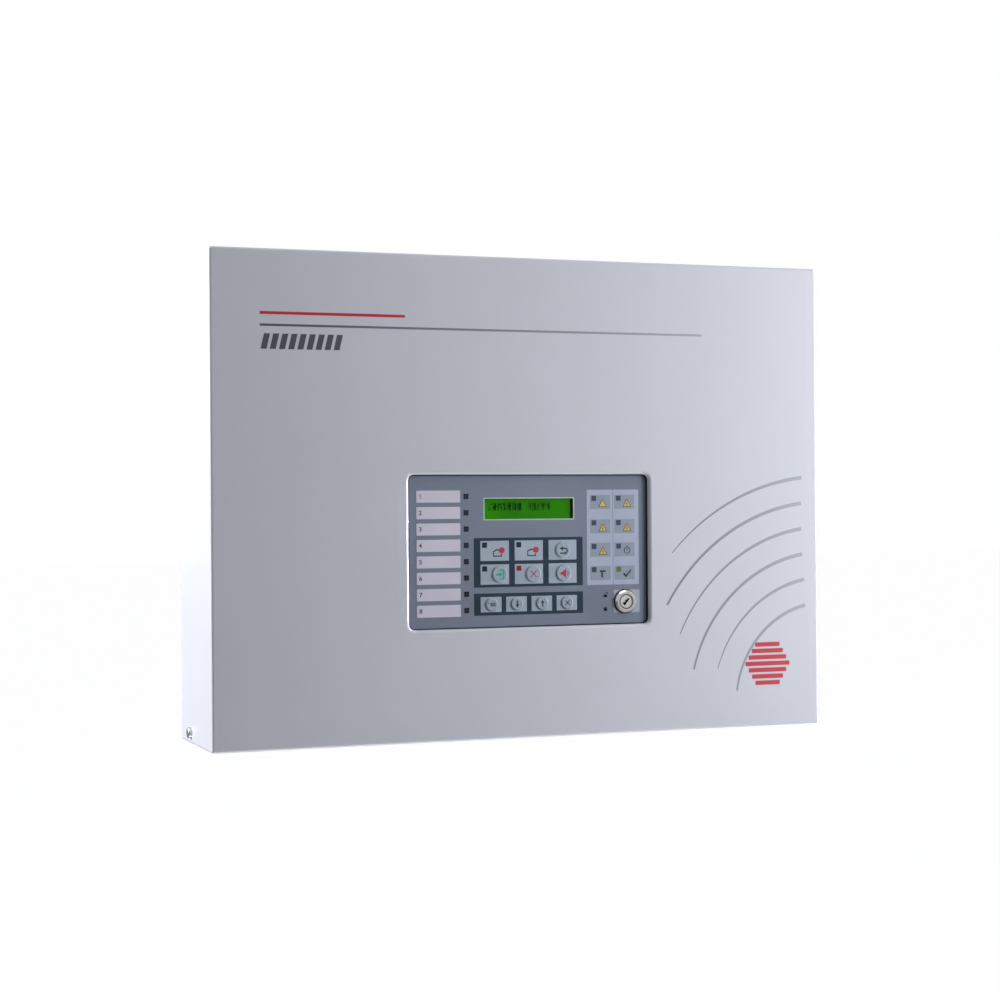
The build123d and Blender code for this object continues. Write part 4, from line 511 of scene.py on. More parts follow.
def indicator_windows():
    """Square windows printed over the lamps, with the two that are lit in colour, and a painted glint in the
    middle of each dark one.
    """
    lamps = [centre(low, high) for low, high in islands("indicator_leds")]
    red_lamp, green_lamp = [min(lamps, key=lambda p: math.dist(p, near)) for near in (RED_LAMP, GREEN_LAMP)]
    status = [p for p in lamps if p[0] > STATUS_LEFT and p != green_lamp]
    dark = [p for p in lamps if p[0] < STATUS_LEFT and p != red_lamp]
    looks = {
        "dark": (dark, ink("window_dark", (0.010, 0.014, 0.024), 0.25)),
        "status": (status, ink("window_status", (0.045, 0.060, 0.095), 0.3)),
        "red": ([red_lamp], ink("window_red", (0.17, 0.012, 0.022), 0.25, 0.4)),
        "green": ([green_lamp], ink("window_green", (0.10, 0.15, 0.035), 0.25, 0.25)),
    }
    for tone, (places, material) in looks.items():
        squares = [[rect(x, z, LAMP_SQUARE, LAMP_SQUARE, LAMP_SQUARE_R)] for x, z in places]
        printed("lamp_windows_" + tone, squares, OVERLAY_Y, material, level=2)
    # A slightly lighter disc on each dark window is a painted glint.
    glints = [[circle(x, z, GLINT_R, 24)] for x, z in dark]
    printed("lamp_glints", glints, OVERLAY_Y, ink("window_glint", (0.022, 0.028, 0.042), 0.2), level=3)


DIGIT_SIZE, DIGIT_BOLDER, DIGIT_INDENT = 4.2, 0.08, 2.6


def label_digits():
    """The zone numbers 1 to 8 at the left of the paper inserts."""
    meshes = []
    rows = sorted(islands("zone_labels"), key=lambda b: -b[0].z)
    for k, (low, high) in enumerate(rows):
        text = bpy.data.curves.new("digit", "FONT")
        text.body = str(k + 1)
        text.size = DIGIT_SIZE * mm
        text.extrude = INK / 2
        text.offset = DIGIT_BOLDER * mm
        text.align_x, text.align_y = "CENTER", "CENTER"
        holder = bpy.data.objects.new("digit", text)
        bpy.context.scene.collection.objects.link(holder)
        bpy.context.view_layer.update()
        mesh = bpy.data.meshes.new_from_object(holder)
        bpy.data.objects.remove(holder)
        x, z = low.x + DIGIT_INDENT * mm, (low.z + high.z) / 2
        for v in mesh.vertices:
            px, pz, across = v.co
            v.co = (x + px, low.y - INK / 2 - across, z + pz)
        meshes.append(mesh)
    joined("label_numbers", meshes, ink("print_number", (0.03, 0.03, 0.04)), "cover")


# ---------------------------------------------------------------- pictograms, in a 10 mm cell
def icon_triangle(r):
    """Triangle with its corners at `r`, set low enough to look centred."""
    corners = [math.radians(a) for a in (0, 120, 240)]
    return [[[(r * math.sin(a), r * math.cos(a) - 0.6) for a in corners]]]


def icon_return():
    """Arrow that turns back on itself."""
    hook = [(-2.6, -2.3), (1.4, -2.3)] + arc(1.4, -0.6, 1.7, -90, 90, 10) + [(-0.4, 1.1)]
    return [[band(hook, 0.95)], [[(-0.2, 2.7), (-2.8, 1.1), (-0.2, -0.5)]]]


def icon_vertical(up):
    s = 1 if up else -1
    head = [(-1.6, 0.3 * s), (1.6, 0.3 * s), (0, 2.8 * s)]
    return [[head], [rect(0, -1.2 * s, 1.1, 3.2)]]


def icon_cross(size, width):
    """Two strokes, one of them cut where they cross."""
    return [[band([(-size, -size), (size, size)], width)], [band([(-size, size), (-0.2, 0.2)], width)],
            [band([(0.2, -0.2), (size, -size)], width)]]


def icon_menu():
    """A dot and a small grid of cells."""
    cells = [[rect(0.6 + 1.45 * c, 0.75 - 1.5 * r, 1.2, 1.15)] for c in range(3) for r in range(2)]
    return moved_figures(cells, -1.2, 0) + [[circle(-2.9, 1.0, 0.5, 14)]]


def icon_exit():
    """Arrow leaving a doorway."""
    door = band([(0.0, 3.0), (2.6, 3.0), (2.6, -3.0), (0.0, -3.0)], 0.95)
    shaft = rect(-1.7, 0, 2.8, 1.1)
    return [[door], [shaft], [[(-0.4, 1.9), (1.7, 0), (-0.4, -1.9)]]]


def icon_speaker():
    cone = [(-2.4, 1.0), (-1.0, 1.0), (1.5, 3.0), (1.5, -3.0), (-1.0, -1.0), (-2.4, -1.0)]
    return [[cone], [band(arc(0.6, 0, 2.3, -38, 38, 8), 0.6)]]


def icon_house():
    walls = band([(-3.4, -0.2), (-3.4, -2.4), (2.2, -2.4), (2.2, -1.0)], 0.75)
    roof = band([(-4.0, 0.2), (-1.2, 2.0), (0.4, 1.5)], 0.8)
    return [[walls], [roof]]


def icon_dial():
    """Ring with a hand and a knob on top."""
    hand = rect(0, 0.5, 0.4, 1.3)
    return [[circle(0, 0, 2.4, 30), circle(0, 0, 1.95, 30)], [hand], [circle(0, 3.0, 0.4, 12)]]


def icon_hammer():
    head = [(-2.2, 1.0), (-2.2, 2.3), (1.2, 2.3), (2.4, 1.3), (1.2, 1.0)]
    return [[head], [rect(-0.6, -0.9, 1.0, 3.5)]]


def icon_tick():
    return [[band([(-2.6, -0.2), (-0.9, -2.0), (2.8, 2.2)], 1.25, 0.85)]]


def icon_padlock(shut):
    """Body and shackle; the open one's shackle is lifted and moved aside."""
    lift = 0.0 if shut else 0.5
    shackle = arc(0.0 if shut else 0.9, 0.5 + lift, 0.8, 0, 180 if shut else 150, 10)
    return [[rect(0, -0.4, 2.2, 1.7, 0.2)], [band(shackle, 0.36)]]


def moved_figures(figures, x, z, size=1.0):
    return [moved(f, x, z, size) for f in figures]


def key_icons():
    """Each key's pictogram rides on the key."""
    dark = ink("icon_dark", (0.016, 0.020, 0.032))
    green = ink("icon_green", (0.015, 0.36, 0.22))
    mauve = ink("icon_mauve", (0.33, 0.10, 0.16))
    red = ink("icon_red", (0.43, 0.018, 0.04))
    art = {
        "key_reset": (icon_return(), dark, 0.95),
        "key_evacuate": (icon_exit(), green, 0.95),
        "key_disable": (icon_cross(2.3, 0.8), mauve, 1.0),
        "key_sounder": (icon_speaker(), red, 1.05),
        "key_enter": (icon_menu(), dark, 0.85),
        "key_down": (icon_vertical(False), dark, 0.85),
        "key_up": (icon_vertical(True), dark, 0.85),
        "key_cancel": (icon_cross(1.6, 0.6), dark, 1.0),
    }
    for name, (figures, material, size) in art.items():
        x, z, _ = key_place(name)
        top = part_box(name)[0].y
        printed(name + "_symbol", moved_figures(figures, x, z, size), top, material, name + "_body")
        key_ring(name)


# Radii of two painted shadow rings: the shaded gap round the plug, and the shade round the collar.
PLUG_GAP_SHADOW_R, COLLAR_SHADOW_R = (5.1, 4.55), (8.45, 7.85)    # outer and inner


def lock_face():
    """Painted shadows on the lock, all in black: a ring for the shaded gap round the turning plug, a figure
    for the shaded depth of its keyway's stepped mouth, and a ring of shade round the collar.
    """
    black = ink("lock_painted_shadow", (0.004, 0.004, 0.005), 0.6, specular=0.1)
    gap_shadow = [circle(LOCK_X, LOCK_Z, r, 56) for r in PLUG_GAP_SHADOW_R]
    printed("lock_plug_gap_shadow", [gap_shadow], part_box("lock_body")[0].y, black)
    ring = [circle(LOCK_X, LOCK_Z, r, 64) for r in COLLAR_SHADOW_R]
    printed("lock_rim_shadow", [ring], OVERLAY_Y, black, level=3)
    # The keyway figure is painted shadow for the dark depth of the keyway.
    mouth = band([(-2.3, -0.7), (-1.2, -1.9), (1.9, 1.9)], 1.25)
    mouth = moved_figures([[mouth]], LOCK_X, LOCK_Z)
    printed("lock_keyway_shadow", mouth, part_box("lock_plug")[0].y, black, "lock")


RING_INSET, RING_TUBE, RING_RAISED = 0.95, 0.16, 0.02


def key_ring(name):
    """Slightly raised embossed ring round the flat top of a key dome."""
    x, z, r = key_place(name)
    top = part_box(name)[0].y
    ring = torus(x * mm, top + RING_RAISED * mm, z * mm, (r - RING_INSET) * mm, RING_TUBE * mm)
    placed(name + "_ring", ring, MATERIALS["cap"], name + "_body")


def torus(x, y, z, radius, tube, around=56, across=10):
    """Ring facing the reader, in metres."""
    bm = bmesh.new()
    rows = []
    for i in range(around):
        a = 2 * math.pi * i / around
        row = []
        for j in range(across):
            b = 2 * math.pi * j / across
            out = radius + tube * math.cos(b)
            row.append(bm.verts.new((x + out * math.cos(a), y + tube * math.sin(b), z + out * math.sin(a))))
        rows.append(row)
    for i in range(around):
        for j in range(across):
            a, b = rows[i], rows[(i + 1) % around]
            bm.faces.new((a[j], b[j], b[(j + 1) % across], a[(j + 1) % across]))
    bmesh.ops.recalc_face_normals(bm, faces=bm.faces)
    for f in bm.faces:
        f.smooth = True
    mesh = bpy.data.meshes.new("ring")
    bm.to_mesh(mesh)
    bm.free()
    return mesh


SIGN_X, SIGN_Z, MARK_Z = 1.9, -1.0, -0.4     # from a cell's middle
DIAL_Z = -0.6
FRAME_R, FILL_R = 3.9, 2.8                   # the warning triangle's edge and its filling
PADLOCK_X, OPEN_Z, SHUT_Z = 56.1, -67.2, -76.6
HOUSE_X, HOUSE_Z, DISC_X, DISC_Z, DISC_R = 2.6, -1.2, 2.5, 1.5, 2.1


def status_icons():
    """Signs in the status cells, padlocks by the lock, and the alarm marks on the two blank key faces."""
    dark = ink("sign_dark", (0.014, 0.019, 0.040))
    amber = ink("sign_amber", (0.66, 0.50, 0.13))
    brown = ink("sign_brown", (0.19, 0.11, 0.05))
    crimson = ink("sign_crimson", (0.48, 0.02, 0.07))
    frames, fills, marks = [], [], []
    for r, c in ((0, 0), (0, 1), (1, 0), (1, 1), (2, 0)):
        x, z = CELL_XS[c] + SIGN_X, CELL_ZS[r] + SIGN_Z
        frames += moved_figures(icon_triangle(FRAME_R), x, z)
        fills += moved_figures(icon_triangle(FILL_R), x, z)
        if (r, c) != (0, 0):
            marks += [[rect(x, z - 0.2, 0.55, 1.7)], [circle(x, z - 1.55, 0.33, 12)]]
    marks += moved_figures(icon_dial(), CELL_XS[1] + SIGN_X, CELL_ZS[2] + DIAL_Z)
    marks += moved_figures(icon_hammer(), CELL_XS[0] + SIGN_X, CELL_ZS[3] + MARK_Z)
    marks += moved_figures(icon_tick(), CELL_XS[1] + SIGN_X, CELL_ZS[3] + MARK_Z)
    padlocks = moved_figures(icon_padlock(False), PADLOCK_X, OPEN_Z)
    padlocks += moved_figures(icon_padlock(True), PADLOCK_X, SHUT_Z)
    roofs, discs = [], []
    for face_x in FACE_XS[:2]:
        x, z = face_x + HOUSE_X, FACE_ZS[0] + HOUSE_Z
        roofs += moved_figures(icon_house(), x, z)
        discs.append([circle(x + DISC_X, z + DISC_Z, DISC_R, 28)])
    printed("sign_frames", frames, OVERLAY_Y, brown, level=2)
    printed("sign_fills", fills, OVERLAY_Y, amber, level=3)
    printed("sign_marks", marks, OVERLAY_Y, dark, level=4)
    black = ink("sign_black", (0.001, 0.002, 0.008), specular=0.1)
    printed("sign_padlocks", padlocks, OVERLAY_Y, black, level=4)
    printed("sign_roofs", roofs, OVERLAY_Y, dark, level=2)
    printed("sign_alarm_discs", discs, OVERLAY_Y, crimson, level=3)


# ---------------------------------------------------------------- the lit display
DOT_COLUMNS, DOT_GAP = 13, 7       # character cells in the display's top line, and the blank one
DOT_ROWS, DOTS_ACROSS = 7, 5       # dots in one cell
DOT_CELL, DOT_W, DOT_H = 3.55, 0.56, 0.72
DOT_FILL = 0.96                    # how much of its place a dot covers
DOT_LEFT, DOT_TOP = -28.6, 3.6     # the first dot, from the window's middle
LIT_W, LIT_H = 64.8, 14.4
GASKET_W, GASKET_H, GASKET_T = 66.0, 15.4, 0.3
# The opening is set off left and down, so the black is wider at the right and top: a real gasket with
# painted shadow from the window's edge.
GASKET_OPENING_SHADOWED = (-0.55, -0.25, 63.0, 13.1)    # the gasket's opening, from the window's middle


def display():
    """Lit green field with a line of dot cells, in no alphabet."""
    x, z = centre(*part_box("lcd_window"))
    lit, nodes, links, shader = nodes_of("display_lit")
    tone = nodes.new("ShaderNodeMix")
    tone.data_type = "RGBA"
    tone.inputs["A"].default_value = (0.010, 0.098, 0.0, 1)
    tone.inputs["B"].default_value = (0.018, 0.150, 0.0, 1)
    links.new(spread(nodes, links, noise(nodes, links, 30), 0, 1), tone.inputs["Factor"])
    links.new(tone.outputs["Result"], shader.inputs["Base Color"])
    links.new(tone.outputs["Result"], shader.inputs["Emission Color"])
    shader.inputs["Emission Strength"].default_value = 0.78
    shader.inputs["Roughness"].default_value = 0.5
    shader.inputs["Specular IOR Level"].default_value = 0.05
    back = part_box("lcd_glass")[0].y
    printed("display_lit_area", [[rect(x, z, LIT_W, LIT_H)]], back, lit)
    dots = []
    seeded = random.Random(5)
    for column in range(DOT_COLUMNS):
        if column == DOT_GAP:
            continue
        for px in range(DOTS_ACROSS):
            upright = seeded.random() < 0.5
            for pz in range(DOT_ROWS) if upright else seeded.sample(range(DOT_ROWS), 2):
                place = (x + DOT_LEFT + column * DOT_CELL + px * DOT_W, z + DOT_TOP - pz * DOT_H)
                dots.append([rect(*place, DOT_W * DOT_FILL, DOT_H * DOT_FILL)])
    printed("display_dots", dots, back, ink("display_dot", (0.001, 0.010, 0.001), specular=0.05), level=1)
    dx, dz, w, h = GASKET_OPENING_SHADOWED
    # Black gasket round the lit glass, partly real and partly painted shadow: its wider black at the right
    # and top stands for the window edge's shadow on the deep-set glass.
    gasket_and_shadow = [rect(x, z, GASKET_W, GASKET_H), rect(x + dx, z + dz, w, h)]
    black = ink("gasket_and_shadow", (0.006, 0.01, 0.006))
    printed("display_gasket_and_shadow", [gasket_and_shadow], back, black, level=1, thickness=GASKET_T * mm)


# ---------------------------------------------------------------- detail inside
TRACK_W, TRACK_STEP = 0.5, 2.2
CHIP_W, CHIP_H, CHIP_T = 2.0, 1.2, 0.6     # a small resistor
CHIP_END_X, CHIP_END_W, CHIP_CLEAR = 1.15, 0.4, 3


def circuit_detail(prefix, node, facing, body, columns, seed, tall):
    """Copper tracks and small parts on a board's face, -1 out or +1 back, clear of its tall parts."""
    taken = [(low / mm, high / mm) for name in tall for low, high in islands(name)]
    low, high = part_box(node)
    y = low.y if facing < 0 else high.y + INK
    seeded = random.Random(seed)
    x0, x1, z0, z1 = low.x / mm + 8, high.x / mm - 8, low.z / mm + 9, high.z / mm - 9
    tracks, places, chips, ends = [], [], [], []
    for k in range(columns):
        x = x0 + (x1 - x0) * (k + 0.5) / columns
        z, run = z0 + seeded.random() * 10, []
        while z < z1 - 12:
            run.append((x, z))
            z += 9 + 12 * seeded.random()
            run.append((x, z))
            x += seeded.choice((-TRACK_STEP, TRACK_STEP))
            z += TRACK_STEP
        tracks.append([band(run, TRACK_W)])
    for k in range(columns * 2):
        x, z = seeded.uniform(x0, x1), seeded.uniform(z0, z1)
        if not any(a.x - CHIP_CLEAR < x < b.x + CHIP_CLEAR and a.z - CHIP_CLEAR < z < b.z + CHIP_CLEAR
                   for a, b in taken):
            places.append((x, z))
    copper = surface(prefix + "_copper", (0.03, 0.2, 0.09), 0.3, coat=0.4)
    printed(prefix + "_tracks", tracks, y, copper, body)
    depth = CHIP_T * mm
    end_depth = depth * 0.9
    for x, z in places:
        chips.append(sheet([rect(x, z, CHIP_W, CHIP_H)], y if facing < 0 else y + depth, depth))
        for side in (-1, 1):
            end = rect(x + side * CHIP_END_X, z, CHIP_END_W, CHIP_H)
            ends.append(sheet([end], y if facing < 0 else y + end_depth, end_depth))
    joined(prefix + "_resistors", chips, MATERIALS["black"], body)
    joined(prefix + "_resistor_ends", ends, MATERIALS["zinc"], body)


LABEL_Z, LABEL_W, LABEL_H = 34, 62, 48     # heights are from the battery's middle
BAND_Z, BAND_W, BAND_H = 52, 56, 6
LINE_X, LINE_Z, LINE_STEP, LINE_W, LINE_H = -6, 40, 8, 40, 1.6
MINUS_Z, MINUS_W, MINUS_H = -60, 7, 1.6


def battery_detail():
    """Plain paper label and polarity marks on each battery."""
    label = surface("battery_label", (0.55, 0.57, 0.6), 0.4, vary=0.03, coat=0.3)
    stripe = ink("battery_stripe", (0.03, 0.13, 0.30))
    mark = ink("battery_mark", (0.62, 0.62, 0.62))
    labels, stripes, marks = [], [], []
    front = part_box("battery_cases")[0].y
    for low, high in islands("battery_cases"):
        x, z = centre(low, high)
        labels.append([rect(x, z + LABEL_Z, LABEL_W, LABEL_H, 2)])
        stripes.append([rect(x, z + BAND_Z, BAND_W, BAND_H, 1)])
        for k in range(3):
            stripes.append([rect(x + LINE_X, z + LINE_Z - LINE_STEP * k, LINE_W, LINE_H, 0.4)])
        marks.append([rect(x, z + MINUS_Z, MINUS_W, MINUS_H)])
    printed("battery_labels", labels, front, label, "chassis")
    printed("battery_label_bands", stripes, front, stripe, "chassis", level=1)
    printed("battery_polarity", marks, front, mark, "chassis")


def smooth_path(points, samples):
    """Catmull-Rom curve through points, as a list of vectors."""
    found = []
    padded = [points[0]] + points + [points[-1]]
    for k in range(1, len(padded) - 2):
        p0, p1, p2, p3 = [Vector(padded[k + j]) for j in (-1, 0, 1, 2)]
        for s in range(samples):
            t = s / samples
            found.append(0.5 * ((2 * p1) + (p2 - p0) * t + (2 * p0 - 5 * p1 + 4 * p2 - p3) * t ** 2
                                + (3 * p1 - p0 - 3 * p2 + p3) * t ** 3))
    return found + [Vector(points[-1])]


CORES, CORE_STEPS, RIBBON_HALF_T = 26, 6, 0.45 * mm
REAR_STEPS, FOLD_STEPS, FRONT_STEPS = 8, 40, 16


def ribbon():
    """Flat cable of round cores, folded over between the two boards."""
    low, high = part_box("ribbon_cable")
    rear, front = high.y - RIBBON_HALF_T, low.y + RIBBON_HALF_T
    fold_z = high.z - (rear - front) / 2 - RIBBON_HALF_T
    middle, radius = (rear + front) / 2, (rear - front) / 2
    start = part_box("ribbon_plug")[1].z
    path = [Vector((0, rear, start + (fold_z - start) * k / REAR_STEPS)) for k in range(REAR_STEPS)]
    for k in range(FOLD_STEPS + 1):
        a = math.pi * k / FOLD_STEPS
        path.append(Vector((0, middle + radius * math.cos(a), fold_z + radius * math.sin(a))))
    path += [Vector((0, front, fold_z - (fold_z - low.z) * k / FRONT_STEPS))
             for k in range(1, FRONT_STEPS + 1)]
    width = high.x - low.x
    core_radius = width / CORES / 2
    across = CORES * CORE_STEPS
    bm = bmesh.new()
    rows = []
    for k, point in enumerate(path):
        ahead = path[min(k + 1, len(path) - 1)] - path[max(k - 1, 0)]
        normal = Vector((0, -ahead.z, ahead.y)).normalized()
        top, bottom = [], []
        for j in range(across + 1):
            x = low.x + width * j / across
            phase = (j / CORE_STEPS) % 1
            lift = core_radius * (0.25 + 0.6 * math.sin(math.pi * phase) ** 0.7 if phase else 0.25)
            top.append(bm.verts.new(point + normal * lift + Vector((x, 0, 0))))
            bottom.append(bm.verts.new(point - normal * lift + Vector((x, 0, 0))))
        rows.append(top + bottom[::-1])
    count = len(rows[0])
    for a, b in zip(rows, rows[1:]):
        for j in range(count):
            n = (j + 1) % count
            bm.faces.new((a[j], a[n], b[n], b[j]))
    bm.faces.new(rows[0][::-1])
    bm.faces.new(rows[-1])
    bmesh.ops.recalc_face_normals(bm, faces=bm.faces)
    for f in bm.faces:
        f.smooth = True
    mesh = bpy.data.meshes.new("ribbon_flat_cable")
    bm.to_mesh(mesh)
    bm.free()
    cable = placed("ribbon_flat_cable", mesh, MATERIALS["ribbon"], None)
    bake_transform(cable)
    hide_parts("ribbon_cable")


def tube(path, radius, around=14):
    """Round closed tube along a path of vectors."""
    bm = bmesh.new()
    rows, out = [], None
    last = len(path) - 1
    for k, point in enumerate(path):
        ahead = (path[min(k + 1, last)] - path[max(k - 1, 0)]).normalized()
        if out is None:
            out = ahead.orthogonal().normalized()
        out = (out - ahead * out.dot(ahead)).normalized()
        side = ahead.cross(out)
        row = []
        for j in range(around):
            a = 2 * math.pi * j / around
            row.append(bm.verts.new(point + (side * math.cos(a) + out * math.sin(a)) * radius))
        rows.append(row)
    for a, b in zip(rows, rows[1:]):
        for j in range(around):
            n = (j + 1) % around
            bm.faces.new((a[j], a[n], b[n], b[j]))
    bm.faces.new(rows[0][::-1])
    bm.faces.new(rows[-1])
    bmesh.ops.recalc_face_normals(bm, faces=bm.faces)
    for f in bm.faces:
        f.smooth = len(f.verts) == 4
    mesh = bpy.data.meshes.new("tube")
    bm.to_mesh(mesh)
    bm.free()
    return mesh


LEAD_STEPS, BATTERY_LEAD_R, SUPPLY_LEAD_R, EARTH_LEAD_R = 10, 1.4, 1.2, 1.5


def lead(points, radius):
    """Smooth wire through (x, depth, z) points in millimetres."""
    return tube(smooth_path([(x * mm, -d * mm, z * mm) for x, d, z in points], LEAD_STEPS), radius * mm)


def wiring():
    """Battery, charger and mains leads, each running from one terminal to the next."""
    lugs = islands("lead_lugs")
    tip = min(abs(b[0].x) for b in lugs if b[0].x > 0) / mm
    low_z = min((b[0].z + b[1].z) / 2 for b in lugs) / mm
    high_z = max((b[0].z + b[1].z) / 2 for b in lugs) / mm
    depth = -(lugs[0][0].y + lugs[0][1].y) / 2 / mm
    sockets = [b for b in islands("terminal_blocks") if b[1].z < 40 * mm]
    ways = [(b[0].x + b[1].x) / 2 / mm + s * 4.5 for b in sockets for s in (-1, 1)]
    mouth, board = 18.6, sockets[0][0].z / mm     # depth of the sockets' wire entries, and their height
    red = [(-tip, depth, low_z), (8 - tip, depth, low_z), (-80, 22, -60), (-76, 24, -14),
           (ways[0], mouth, 10), (ways[0], mouth, board - 1)]
    black = [(tip, depth, low_z), (tip - 7, depth, low_z), (84, 26, -60), (76, 29, -26), (30, 31, -8),
             (-20, 28, -3), (ways[1], mouth, 8), (ways[1], mouth, board - 1)]
    link = [(-tip, depth, high_z), (8 - tip, depth, high_z), (-60, 12, -20), (0, 9, -27), (60, 12, -20),
            (tip - 8, depth, high_z), (tip, depth, high_z)]
    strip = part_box("supply_terminals")
    x, level, step = strip[1].x / mm + 1.0, 24.6, 12.0     # the supply's terminals and their spacing
    middle = centre(*strip)[1]
    low_volt = []
    for k, way in enumerate(ways[2:]):
        z = middle + (2 + k) * step
        low_volt.append([(x, level, z), (x + 5, level + 1, z), (x + 5, 33, z + 18), (way + 3, 35, -8),
                         (way, mouth, 8), (way, mouth, board - 1)])
    block_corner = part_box("mains_block")[1]
    top = block_corner.z / mm
    mains = []
    for k in range(2):
        source = block_corner.x / mm - 12.5 + 7 * k
        z, rise, turn = middle - (3 - k) * step, top + 3.5 + 3 * k, 68.2 - 3 * k
        mains.append([(source, 10, top), (source - 0.5, 10, rise - 1), (77, 15, rise + 1),
                      (turn, 19, rise - 1), (turn, level - 1, z + 3), (x, level, z)])
    wires = [("battery_lead_red", [red], BATTERY_LEAD_R, "red_pvc", "lead_red", "wire_red"),
             ("battery_lead_black", [black, link], BATTERY_LEAD_R, "black_pvc", "lead_black", "wire_black"),
             ("supply_leads_blue", low_volt + mains, SUPPLY_LEAD_R, "blue_pvc", "supply_leads", "wire_blue")]
    for name, runs, radius, look, node, slot in wires:
        piece = joined(name, [lead(points, radius) for points in runs], MATERIALS[look], "chassis")
        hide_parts(node)


EARTH_STEPS = 60


def bonding_lead():
    """Striped earth lead with slack, hanging in a fixed loop."""
    low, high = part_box("earth_lead")
    x = (low.x + high.x) / 2
    radius = EARTH_LEAD_R * mm
    rear, front = high.y - radius, low.y + radius
    top, bottom = high.z, low.z + radius
    middle, half = (rear + front) / 2, (rear - front) / 2
    path = []
    for k in range(EARTH_STEPS + 1):
        a = math.pi * k / EARTH_STEPS
        path.append(Vector((x, middle + half * math.cos(a), top - (top - bottom) * math.sin(a))))
    m, nodes, links, shader = nodes_of("earth_stripe")
    place = nodes.new("ShaderNodeTexCoord")
    wave = nodes.new("ShaderNodeTexWave")
    wave.inputs["Scale"].default_value = 60
    ramp = nodes.new("ShaderNodeValToRGB")
    ramp.color_ramp.interpolation = "CONSTANT"
    ramp.color_ramp.elements[0].color = (0.05, 0.28, 0.04, 1)
    ramp.color_ramp.elements[1].color = (0.75, 0.62, 0.02, 1)
    ramp.color_ramp.elements[1].position = 0.5
    links.new(place.outputs["Object"], wave.inputs["Vector"])
    links.new(wave.outputs["Fac"], ramp.inputs["Fac"])
    links.new(ramp.outputs["Color"], shader.inputs["Base Color"])
    shader.inputs["Roughness"].default_value = 0.4
    bond = placed("earth_bond_lead", tube(path, radius), m, None)
    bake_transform(bond)
    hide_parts("earth_lead")


# ---------------------------------------------------------------- stage, light and camera
FLOOR_DROP, FLOOR_REACH, FLOOR_GLOW = 0.75, 30.0, 0.95
SOFT, BRIGHT, PLAIN = 0.18, 0.6, 1.0    # the surroundings' strength: diffuse, reflected, to the camera
LIGHTS = [   # name, place, target, size, power, colour, spread in degrees
    ("right_front", (0.76, -0.56, 0.06), (0.16, -0.09, 0.0), (0.35, 0.8), 7.7, (0.97, 0.98, 1.0), 180),
    ("left_rear", (-1.40, 0.36, 0.50), (-0.22, -0.04, 0.05), (0.5, 1.0), 43, (1, 1, 1), 180),
    ("low_soft", (0.0, -0.13, -0.80), (0.0, -0.09, -0.03), (0.9, 0.12), 4.5, (1, 1, 1), 180),
    # a narrow beam that skims the face and catches the rim of the recess
    ("right_graze", (1.10, -0.18, -0.01), (-0.07, -0.09, -0.01), (0.04, 0.6), 0.11, (1, 1, 1), 4),
    ("top_soft", (0.1, -0.7, 1.5), (0, 0, 0), (1.4, 0.8), 8.0, (1, 1, 1), 180),
]
CAMERA_PLACE, CAMERA_TURN = (-0.508, -1.365, -0.003), (90.07, 0.41, -20.85)
CAMERA_SENSOR, CAMERA_LENS = 36.0, 73.15


def area_light(name, place, target, size, power, colour, spread):
    light = bpy.data.lights.new(name, "AREA")
    light.shape = "RECTANGLE"
    light.size, light.size_y = size
    light.energy = power
    light.color = colour
    light.spread = math.radians(spread)
    obj = bpy.data.objects.new(name, light)
    obj.location = place
    obj.rotation_euler = (Vector(target) - Vector(place)).to_track_quat("-Z", "Y").to_euler()
    obj.visible_camera = False
    bpy.context.scene.collection.objects.link(obj)


def floor_material():
    """Pale matt floor that the camera sees almost as bright as the backdrop."""
    m, nodes, links, shader = nodes_of("floor_pale")
    shader.inputs["Base Color"].default_value = (0.22, 0.22, 0.225, 1)
    shader.inputs["Roughness"].default_value = 0.9
    shader.inputs["Specular IOR Level"].default_value = 0.0
    path = nodes.new("ShaderNodeLightPath")
    lift = nodes.new("ShaderNodeMath")
    lift.operation = "MULTIPLY"
    lift.inputs[1].default_value = FLOOR_GLOW
    links.new(path.outputs["Is Camera Ray"], lift.inputs[0])
    shader.inputs["Emission Color"].default_value = (1, 1, 1, 1)
    links.new(lift.outputs["Value"], shader.inputs["Emission Strength"])
    return m


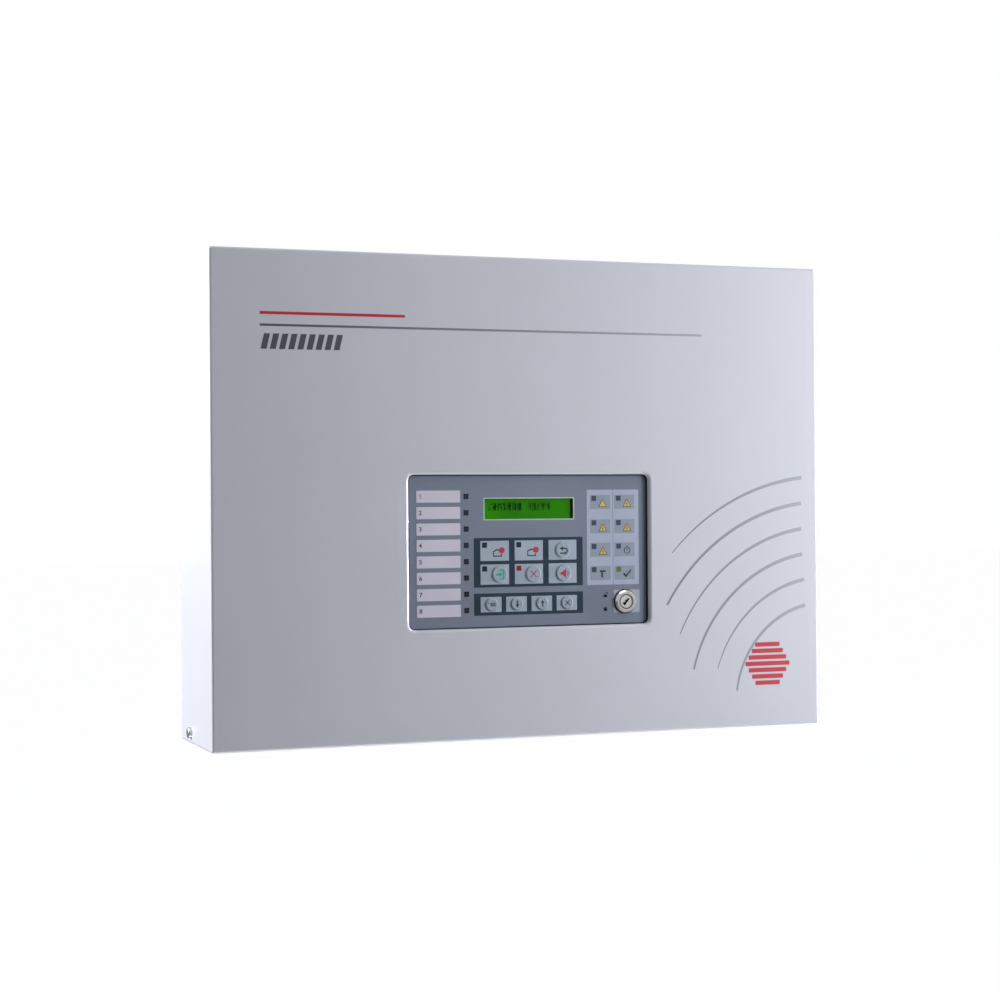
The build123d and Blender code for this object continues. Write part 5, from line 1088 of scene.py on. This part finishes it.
def studio():
    """Floor, surroundings and lights.  Reflections see brighter surroundings, so bare metal is not black."""
    floor = bpy.data.meshes.new("floor")
    z, reach = cad_low.z - FLOOR_DROP, FLOOR_REACH
    corners = [(-reach, -reach, z), (reach, -reach, z), (reach, reach, z), (-reach, reach, z)]
    floor.from_pydata(corners, [], [(0, 1, 2, 3)])
    floor_obj = bpy.data.objects.new("floor", floor)
    bpy.context.scene.collection.objects.link(floor_obj)
    paint(floor_obj, floor_material())
    world = bpy.data.worlds.new("studio")
    bpy.context.scene.world = world
    world.use_nodes = True
    nodes, links = world.node_tree.nodes, world.node_tree.links
    soft = nodes["Background"]
    soft.inputs["Color"].default_value = (0.90, 0.93, 1.0, 1)
    soft.inputs["Strength"].default_value = SOFT
    bright = nodes.new("ShaderNodeBackground")
    bright.inputs["Color"].default_value = (0.95, 0.97, 1.0, 1)
    bright.inputs["Strength"].default_value = BRIGHT
    plain = nodes.new("ShaderNodeBackground")
    plain.inputs["Color"].default_value = (1, 1, 1, 1)
    plain.inputs["Strength"].default_value = PLAIN
    path = nodes.new("ShaderNodeLightPath")
    shiny = nodes.new("ShaderNodeMixShader")
    links.new(path.outputs["Is Glossy Ray"], shiny.inputs["Fac"])
    links.new(soft.outputs["Background"], shiny.inputs[1])
    links.new(bright.outputs["Background"], shiny.inputs[2])
    mix = nodes.new("ShaderNodeMixShader")
    links.new(path.outputs["Is Camera Ray"], mix.inputs["Fac"])
    links.new(shiny.outputs["Shader"], mix.inputs[1])
    links.new(plain.outputs["Background"], mix.inputs[2])
    links.new(mix.outputs["Shader"], nodes["World Output"].inputs["Surface"])
    for light in LIGHTS:
        area_light(*light)
    bpy.context.scene.view_settings.view_transform = "Standard"


def camera():
    data = bpy.data.cameras.new("camera")
    data.sensor_width = CAMERA_SENSOR
    data.lens = CAMERA_LENS
    obj = bpy.data.objects.new("camera", data)
    obj.location = CAMERA_PLACE
    obj.rotation_euler = [math.radians(a) for a in CAMERA_TURN]
    bpy.context.scene.collection.objects.link(obj)
    bpy.context.scene.camera = obj


dress_cad()
cover_artwork()
overlay_artwork()
indicator_windows()
label_digits()
key_icons()
lock_face()
status_icons()
display()
circuit_detail("main", "main_board", -1, "chassis", 26, 11,
               ["relays", "chips", "capacitors", "heatsink", "terminal_blocks", "fuse_clips",
                "glass_fuses", "ribbon_socket", "chassis_screws"])
circuit_detail("panel", "display_board", 1, "cover", 14, 12,
               ["buzzer", "panel_socket", "lock_switch", "lock_plug", "display_fixings"])
battery_detail()
ribbon()
bonding_lead()
wiring()
studio()
camera()
